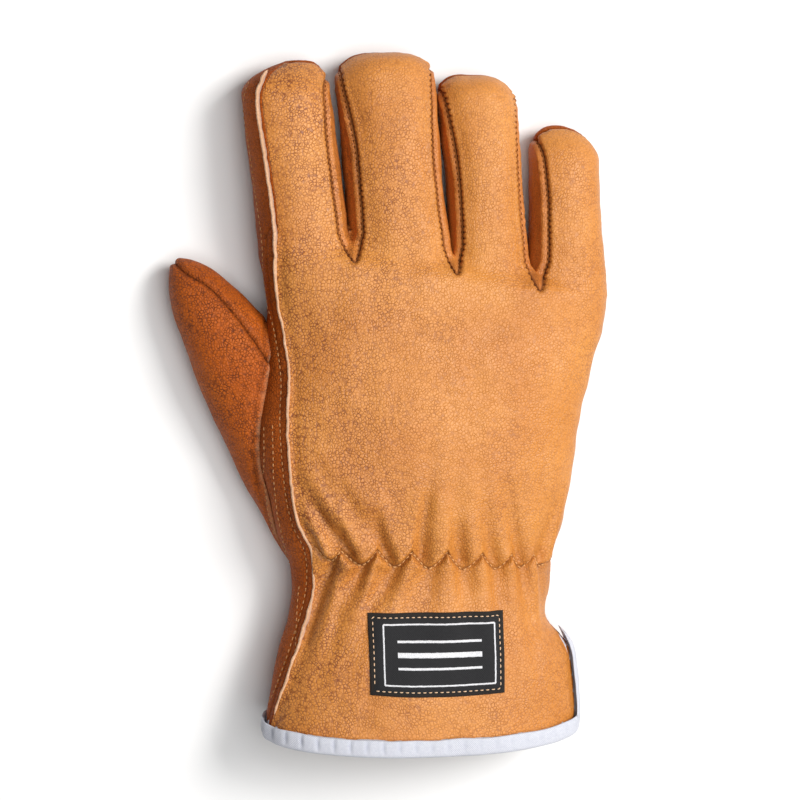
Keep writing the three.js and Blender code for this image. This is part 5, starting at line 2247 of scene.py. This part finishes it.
@dataclass
class Binding:
    """The white tape folded over the hem and round the vent, with its loose end."""

    cuff: Cuff
    seams: Seams
    width: float = 6.0
    thick: float = 0.5
    clear: float = 0.06
    leather: float = 1.5
    step: float = 0.6
    tail_length: float = 3.0
    tail_width: float = 4.2
    tail_turn: float = 40.0

    def __post_init__(self) -> None:
        """Places the tape on the cuff."""
        self.hem = -self.cuff.hand.cuff_length
        self.top = self.hem + self.seams.vent_length

    def path(self) -> tuple[Array, Array]:
        """The leather's edge that the tape is folded over, from the vent's end once round the cuff.

        Returns:
            The places round and along the cuff, and the way into the leather at each.
        """
        g, r = self.seams.vent_gap / 2, self.seams.vent_corner
        places, inward = [], []
        for angle in np.linspace(math.pi / 2, 0.0, 6)[:-1]:
            places.append((g * math.cos(angle), self.top - g + g * math.sin(angle)))
            inward.append((math.cos(angle), math.sin(angle)))
        for y in np.arange(self.top - g, self.hem + r, -self.step):
            places.append((g, y))
            inward.append((1.0, 0.0))
        for angle in np.linspace(0.0, math.pi / 2, 16):
            places.append((g + r - r * math.cos(angle), self.hem + r - r * math.sin(angle)))
            inward.append((math.cos(angle), math.sin(angle)))
        half = self.cuff.girth / 2
        for w in np.linspace(g + r, half, int((half - g - r) / self.step))[1:]:
            places.append((w, self.hem))
            inward.append((0.0, 1.0))
        mirrored = [(2 * half - w, y) for w, y in places[-2:0:-1]]
        mirrored_inward = [(-a, b) for a, b in inward[-2:0:-1]]
        return np.array(places + mirrored), np.array(inward + mirrored_inward)

    def profile(self) -> list[tuple[float, float]]:
        """The folded tape's outline: how far into the leather, and how far above its grain side."""
        t, c, w = self.thick, self.clear, self.width - 0.8
        out, inn = c + t, -self.leather - c - t
        mid, fold = (out + inn) / 2, (out - inn) / 2
        outline = [(w - 0.15, c), (w, c + 0.5 * t), (w - 0.15, out), (w - 0.8, out + 0.06)]
        outline += [(w * step, out + 0.16) for step in (0.72, 0.6, 0.5, 0.4, 0.28, 0.15)]
        for angle in np.linspace(80, -80, 7):
            a = math.radians(angle)
            outline.append((-0.1 - 0.9 * math.cos(a), mid + fold * math.sin(a)))
        outline += [(0.5, inn - 0.1), (w * 0.5, inn - 0.12), (w - 0.4, inn)]
        outline += [(w, inn + 0.5 * t), (w - 0.4, inn + t)]
        outline += [(w * 0.5, -self.leather - c), (0.3, -self.leather - c), (0.25, c), (w * 0.5, c)]
        return outline

    def build(self, finishes: Finishes) -> bpy.types.Object:
        """Makes the tape as one closed ring.

        Args:
            finishes: the glove's materials.

        Returns:
            The tape.
        """
        places, inward = self.path()
        after = np.roll(places, -1, axis=0) - places
        after[:, 0] = (after[:, 0] + self.cuff.girth / 2) % self.cuff.girth - self.cuff.girth / 2
        step = np.cumsum(np.hypot(*after.T))
        w, y = places.T
        dent = np.clip(np.cos(2 * math.pi * step / TAPE_STITCH.pitch) * 2.2 - 1.2, 0.0, 1.0)
        strength = 0.35 + 0.65 * smoothstep(w, 30.0, 110.0) * smoothstep(-w, -self.cuff.girth + 30.0, -110.0)
        waver = 0.2 * soft_noise(np.c_[w, y, 0 * w], 17.0, 41)
        height = self.cuff.relief(*(places + inward * 2.0).T)
        rings, shade = [], []
        for depth, up in self.profile():
            into = depth - (waver if depth > 1 else 0.0)
            a, b = w + inward[:, 0] * into, y + inward[:, 1] * into
            stitched = dent * strength * math.exp(-(((depth - 3.1) / 1.2) ** 2))
            soft = 0.1 * soft_noise(np.c_[w, y, 0 * w] + depth, 4.5, 42)
            lift = up + height - 1.0 * stitched * (1 if up > -0.7 else -1) + soft * (up > 0)
            rings.append(self.cuff.place(a, b) + self.cuff.normal(a, b) * lift[:, None])
            shade.append(stitched)
        points = np.stack(rings, axis=1).reshape(-1, 3)
        points[:, 2] = np.maximum(points[:, 2], 0.02)
        rows, cols = len(places), len(rings)
        i, j = np.divmod(np.arange(rows * cols), cols)
        beside, ahead = (j + 1) % cols, (i + 1) % rows
        faces = np.c_[i * cols + j, ahead * cols + j, ahead * cols + beside, i * cols + beside]
        made = new_object("binding_tape", points, faces, finishes.tape)
        # The stitch dents are painted darker: painted shade.
        set_attribute(made, "groove", np.stack(shade, axis=1).ravel())
        around = np.r_[0.0, np.cumsum(np.hypot(*np.diff(np.array(self.profile()), axis=0).T))]
        set_uv(made, np.stack(np.broadcast_arrays(step[:, None], around[None, :]), axis=-1).reshape(-1, 2))
        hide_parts("hem_binding")
        return made

    def tail(self, finishes: Finishes) -> bpy.types.Object:
        """The tape's loose end, which curls up from the vent's end.

        Args:
            finishes: the glove's materials.

        Returns:
            The loose end.
        """
        s = np.linspace(0.0, 1.0, 14)
        t = np.linspace(-1.0, 1.0, 9)
        rings = []
        for side in (1.0, -1.0):
            grid = []
            for u in s:
                turn = math.radians(self.tail_turn) * min(1.5 * u, 1.0)
                half = self.tail_width / 2 * t
                w = 2.4 + 0.8 * u + half * math.cos(turn)
                out = self.tail_length * (u - 0.25 * u**2)
                y = self.top - 1.5 + out + 0.35 * np.sin(2.2 * t) * u
                lift = 1.2 + 1.6 * u**1.6 + 0.35 * np.sin(3.0 * u + t) * u + side * self.thick / 2
                lift = lift + (half + self.tail_width / 2) * math.sin(turn)
                grid.append(self.cuff.place(w, y) + self.cuff.normal(w, y) * lift[:, None])
            rings.append(np.array(grid))
        rows, cols = rings[0].shape[:2]
        points = np.concatenate([ring.reshape(-1, 3) for ring in rings])
        made = new_object("binding_tail", points, sheet_faces(rows, cols), finishes.tape)
        set_attribute(made, "groove", np.zeros(len(points)))
        flat = np.stack(np.meshgrid(s * self.tail_length, t * self.tail_width / 2, indexing="ij"), axis=-1)
        set_uv(made, np.vstack([flat.reshape(-1, 2)] * 2))
        return made


def grid_faces(rows: int, cols: int, ring: bool = False) -> Array:
    """The quads of a grid of points; a ring closes each row on itself."""
    number = np.arange(rows * cols).reshape(rows, cols)
    here, after = (number, np.roll(number, -1, axis=1)) if ring else (number[:, :-1], number[:, 1:])
    return np.stack([here[:-1], after[:-1], after[1:], here[1:]], axis=-1).reshape(-1, 4)


def sheet_faces(rows: int, cols: int) -> Array:
    """The quads of a closed sheet: a front grid, the back grid behind it and the edge between them.

    Args:
        rows: the grid's rows.
        cols: its points per row.

    Returns:
        The quads.
    """
    number = np.arange(rows * cols).reshape(rows, cols)
    front = grid_faces(rows, cols)
    loop = np.r_[number[0, :-1], number[:-1, -1], number[-1, :0:-1], number[:0:-1, 0]]
    after = np.roll(loop, -1)
    back = rows * cols
    return np.concatenate([front, front[:, ::-1] + back, np.c_[after, loop, loop + back, after + back]])


def set_uv(made: bpy.types.Object, uv: Array) -> None:
    """Stores a place on the cloth for each point, in millimetres."""
    layer = made.data.uv_layers.new(name="cloth")
    corner = np.zeros(len(made.data.loops), np.int32)
    made.data.loops.foreach_get("vertex_index", corner)
    layer.data.foreach_set("uv", np.asarray(uv, np.float32)[corner].ravel())


@dataclass
class Patchwork:
    """The bare woven patch on the cuff, with a plain frame and stripes of white yarn."""

    surface: Surface
    width: float = 49.6
    height: float = 28.6
    thick: float = 0.9
    centre: tuple[float, float] = (3.0, -29.3)
    turn: float = -0.6
    edge: float = 1.7
    sag: float = 0.9
    frame: tuple[float, float, float] = (5.2, 3.6, 3.9)
    frame_yarn: float = 0.62
    stripes: tuple[tuple[float, float], ...] = ((0.34, 0.9), (0.5, 1.9), (0.66, 0.9))
    stripe_inset: float = 5.0

    def at(self, u: Array, v: Array, lift: float) -> Array:
        """Points over the skin at places on the patch, from its lower left corner.

        Args:
            u: places across the patch.
            v: places up it.
            lift: how far over the skin.

        Returns:
            The points.
        """
        a, b = np.broadcast_arrays(np.asarray(u, float), np.asarray(v, float))
        a, b = a.ravel(), b.ravel()
        x = a - self.width / 2
        y = b - self.height / 2
        bow = -self.sag * (1 - (2 * x / self.width) ** 2) * (0.5 - y / self.height)
        x = x * (1.0 + 0.018 * (y / self.height - 0.5))
        turn = math.radians(self.turn)
        px = self.centre[0] + x * math.cos(turn) - (y + bow) * math.sin(turn)
        py = self.centre[1] + x * math.sin(turn) + (y + bow) * math.cos(turn)
        made = []
        for i in range(len(px)):
            height, total = 0.0, 0
            for dx, dy in ((0, 0), (2.2, 0), (-2.2, 0), (0, 2.2), (0, -2.2)):
                found = self.surface.drop(float(px[i] + dx), float(py[i] + dy))
                if found is not None:
                    height += found[0].z
                    total += 1
            made.append((px[i], py[i], height / max(total, 1)))
        points = np.array(made)
        edge = np.minimum(np.minimum(a, self.width - a), np.minimum(b, self.height - b))
        puff = 0.35 * smoothstep(edge, 1.6, 5.0) - 0.3 * bump(edge, self.edge, 0.5)
        points[:, 2] += lift + puff + 0.12 * soft_noise(points, 9.0, 51)
        return points

    def cloth(self, finishes: Finishes) -> bpy.types.Object:
        """The black cloth as a closed sheet with a rounded edge.

        Args:
            finishes: the glove's materials.

        Returns:
            The cloth.
        """
        u = np.r_[0.0, 0.25, np.linspace(0.8, self.width - 0.8, 60), self.width - 0.25, self.width]
        v = np.r_[0.0, 0.25, np.linspace(0.8, self.height - 0.8, 36), self.height - 0.25, self.height]
        gu, gv = np.meshgrid(u, v, indexing="ij")
        top = self.at(gu, gv, self.thick)
        edge = np.minimum(np.minimum(gu, self.width - gu), np.minimum(gv, self.height - gv)).ravel()
        top[:, 2] -= 0.45 * (1 - smoothstep(edge, 0.0, 0.8))
        bottom = top.copy()
        bottom[:, 2] -= self.thick * 0.95 * np.clip(0.45 + edge, 0.0, 1.0) + 0.15
        rows, cols = gu.shape
        faces = sheet_faces(rows, cols)[:, ::-1]
        squares = (rows - 1) * (cols - 1)
        faces[: 2 * squares] = np.roll(faces[: 2 * squares], 1, axis=1)
        quads = faces[:squares]
        made = new_object("patch_cloth", np.vstack([top, bottom]), faces, finishes.label)
        made.data.materials.append(finishes.border)
        middle = edge[quads].mean(axis=1)
        slots = np.ones(len(faces), np.int32)
        slots[: len(quads)] = middle < self.edge * 0.75
        if len(made.data.polygons) == len(faces):
            made.data.polygons.foreach_set("material_index", slots)
        # Painted shade in the dent just inside the patch's edge.
        set_attribute(made, "groove", np.r_[bump(edge, self.edge, 0.4), np.zeros(rows * cols)])
        flat = np.c_[gu.ravel(), gv.ravel()]
        set_uv(made, np.vstack([flat, flat]))
        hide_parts("label_patch")
        return made

    def bar(
        self, name: str, line: Sequence[tuple[float, float]], width: float, material: bpy.types.Material
    ) -> bpy.types.Object:
        """A flat band of yarn woven into the patch along a line.

        Args:
            name: the object's name.
            line: the band's ends, from the patch's lower left corner.
            width: the band's width.
            material: the yarn's finish.

        Returns:
            The band as a low arch over the cloth.
        """
        path = walk(np.array(line, float), 0.7)
        path = np.vstack([path, np.array(line[-1], float)])
        along = np.gradient(path, axis=0)
        along /= np.maximum(np.linalg.norm(along, axis=1, keepdims=True), 1e-9)
        side = np.c_[-along[:, 1], along[:, 0]]
        rings = []
        for across, up in ((-0.5, -0.1), (-0.42, 0.14), (0.0, 0.2), (0.42, 0.14), (0.5, -0.1)):
            ragged = 0.05 * soft_noise(np.c_[path, path[:, :1]] + across * 7, 1.3, 61)[:, None]
            flat = path + side * (across * width + ragged)
            rings.append(self.at(flat[:, 0], flat[:, 1], self.thick + up))
        grid = np.stack(rings, axis=1)
        faces = np.roll(grid_faces(*grid.shape[:2]), -1, axis=1)
        made = new_object(name, grid.reshape(-1, 3), faces, material)
        return made

    def build(self, finishes: Finishes) -> list[bpy.types.Object]:
        """Makes the patch, its woven pattern and its stitches.

        Args:
            finishes: the glove's materials.

        Returns:
            The patch's pieces.
        """
        made = [self.cloth(finishes)]
        left, right = self.frame[0], self.width - self.frame[1]
        low, high = self.frame[2], self.height - self.frame[2]
        corners = [(left, low), (right, low), (right, high), (left, high), (left, low)]
        for i, (a, b) in enumerate(zip(corners[:-1], corners[1:])):
            made.append(self.bar(f"patch_frame_{i + 1}", [a, b], self.frame_yarn, finishes.white))
        for i, (height, width) in enumerate(self.stripes):
            y = self.height * height
            ends = [(left + self.stripe_inset, y), (right - self.stripe_inset, y)]
            made.append(self.bar(f"patch_stripe_{i + 1}", ends, width, finishes.white))
        e, w, h = self.edge, self.width - self.edge, self.height - self.edge
        ring = walk(np.array([(e, e), (w, e), (w, h), (e, h), (e, e)]), 0.8)
        line = self.at(ring[:, 0], ring[:, 1], self.thick)
        made.append(self.sewn(line, finishes))
        return made

    def sewn(self, line: Array, finishes: Finishes) -> bpy.types.Object:
        """The row of peach stitches just inside the patch's edge.

        Args:
            line: the line to sew along.
            finishes: the glove's materials.

        Returns:
            The stitches.
        """
        cloth = bpy.data.objects["patch_cloth"]
        points = np.array([(Vector(v.co) / MM) - Vector(FRAME_SHIFT) for v in cloth.data.vertices])
        faces = np.array([tuple(p.vertices) for p in cloth.data.polygons])
        surface = Surface(points, faces)
        made = Sewing(surface).rows("patch_stitches", [line], LABEL_STITCH, finishes.peach_thread, -0.5)
        return made


@dataclass
class Studio:
    """The floor, the lights and the camera."""

    tilt: float = 8.5
    pitch: float = 5.0
    distance: float = 1000.0
    lens: float = 124.3
    film: float = 36.0
    aim: tuple[float, float, float] = (-7.43, 60.08, 19.0)
    floor_half: float = 4000.0
    world: float = 0.12

    def camera(self) -> None:
        """The camera over the glove, at the photograph's angle."""
        tilt, pitch = math.radians(self.tilt), math.radians(self.pitch)
        way = Vector((math.sin(tilt) * math.cos(pitch), -math.sin(pitch), -math.cos(tilt) * math.cos(pitch)))
        target = Vector(to_part_frame([self.aim])[0])
        data = bpy.data.cameras.new("camera")
        data.lens = self.lens
        data.sensor_width = self.film
        data.clip_start, data.clip_end = 0.01, 50.0
        made = bpy.data.objects.new("camera", data)
        bpy.context.scene.collection.objects.link(made)
        made.location = target - way * self.distance * MM
        back = -way
        right = Vector((0, 1, 0)).cross(back).normalized()
        up = back.cross(right).normalized()
        made.rotation_mode = "QUATERNION"
        made.rotation_quaternion = Matrix((right, up, back)).transposed().to_quaternion()
        bpy.context.scene.camera = made

    def floor(self) -> bpy.types.Object:
        """A plain pale floor."""
        n = Nodes("floor")
        shade = n.noise(220.0, 2.0)
        colour = n.mix(n.ramp(shade, 0.3, 0.7), (0.86, 0.86, 0.86), (0.9, 0.9, 0.9))
        n.join(colour, n.shader.inputs["Base Color"])
        n.shader.inputs["Roughness"].default_value = 0.9
        half = self.floor_half
        points = np.array([(-half, -half, 0), (half, -half, 0), (half, half, 0), (-half, half, 0)], float)
        made = new_object("floor", points, np.array([[0, 1, 2, 3]]), n.material, False)
        return made

    @staticmethod
    def light(name: str, place: Sequence[float], size: float, power: float, colour: Colour) -> None:
        """A square soft light that points at the glove.

        Args:
            name: the light's name.
            place: its place in metres.
            size: the length of its side in metres.
            power: its power in watts.
            colour: its colour.
        """
        data = bpy.data.lights.new(name, "AREA")
        data.shape = "SQUARE"
        data.size = size
        data.energy = power
        data.color = colour
        made = bpy.data.objects.new(name, data)
        made.location = place
        made.rotation_euler = (-Vector(place)).to_track_quat("-Z", "Y").to_euler()
        bpy.context.scene.collection.objects.link(made)

    def build(self) -> None:
        """Sets the stage."""
        self.floor()
        world = bpy.data.worlds.new("studio")
        world.use_nodes = True
        background = world.node_tree.nodes["Background"]
        background.inputs["Color"].default_value = (1.0, 1.0, 1.0, 1.0)
        background.inputs["Strength"].default_value = self.world
        bpy.context.scene.world = world
        self.light("key", (0.78, 0.42, 1.12), 0.55, 17.0, (1.0, 0.99, 0.97))
        self.light("top", (0.2, -0.1, 1.4), 1.1, 14.0, (1.0, 1.0, 1.0))
        bpy.context.scene.view_settings.view_transform = "Standard"


def main() -> None:
    """Builds the glove, piece by piece."""
    logging.basicConfig(level=logging.INFO, format="%(relativeCreated)d ms %(message)s", force=True)
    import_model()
    studio = Studio()
    studio.camera()
    studio.build()
    finishes = Finishes()
    form = GloveForm()
    seams = Seams(form)
    leather = Leather(seams, finishes)
    pieces = leather.build()
    log.info("leather: %d pieces", len(pieces))
    surface = Surface.of_panels(list(leather.panels.values()))
    threads = Threads(leather, surface)
    pieces += threads.build(finishes)
    log.info("threads done")
    pieces.append(Welt(seams, surface).build(finishes))
    log.info("welt done")
    cuff = Cuff(form.hand, surface)
    binding = Binding(cuff, seams)
    pieces += [binding.build(finishes), binding.tail(finishes)]
    log.info("binding done")
    pieces += Patchwork(surface).build(finishes)
    log.info("patch done")
    for piece in pieces:
        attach(piece, "root")
        log.info("%s: %d faces", piece.name, len(piece.data.polygons))


if __name__ == "__main__":
    main()
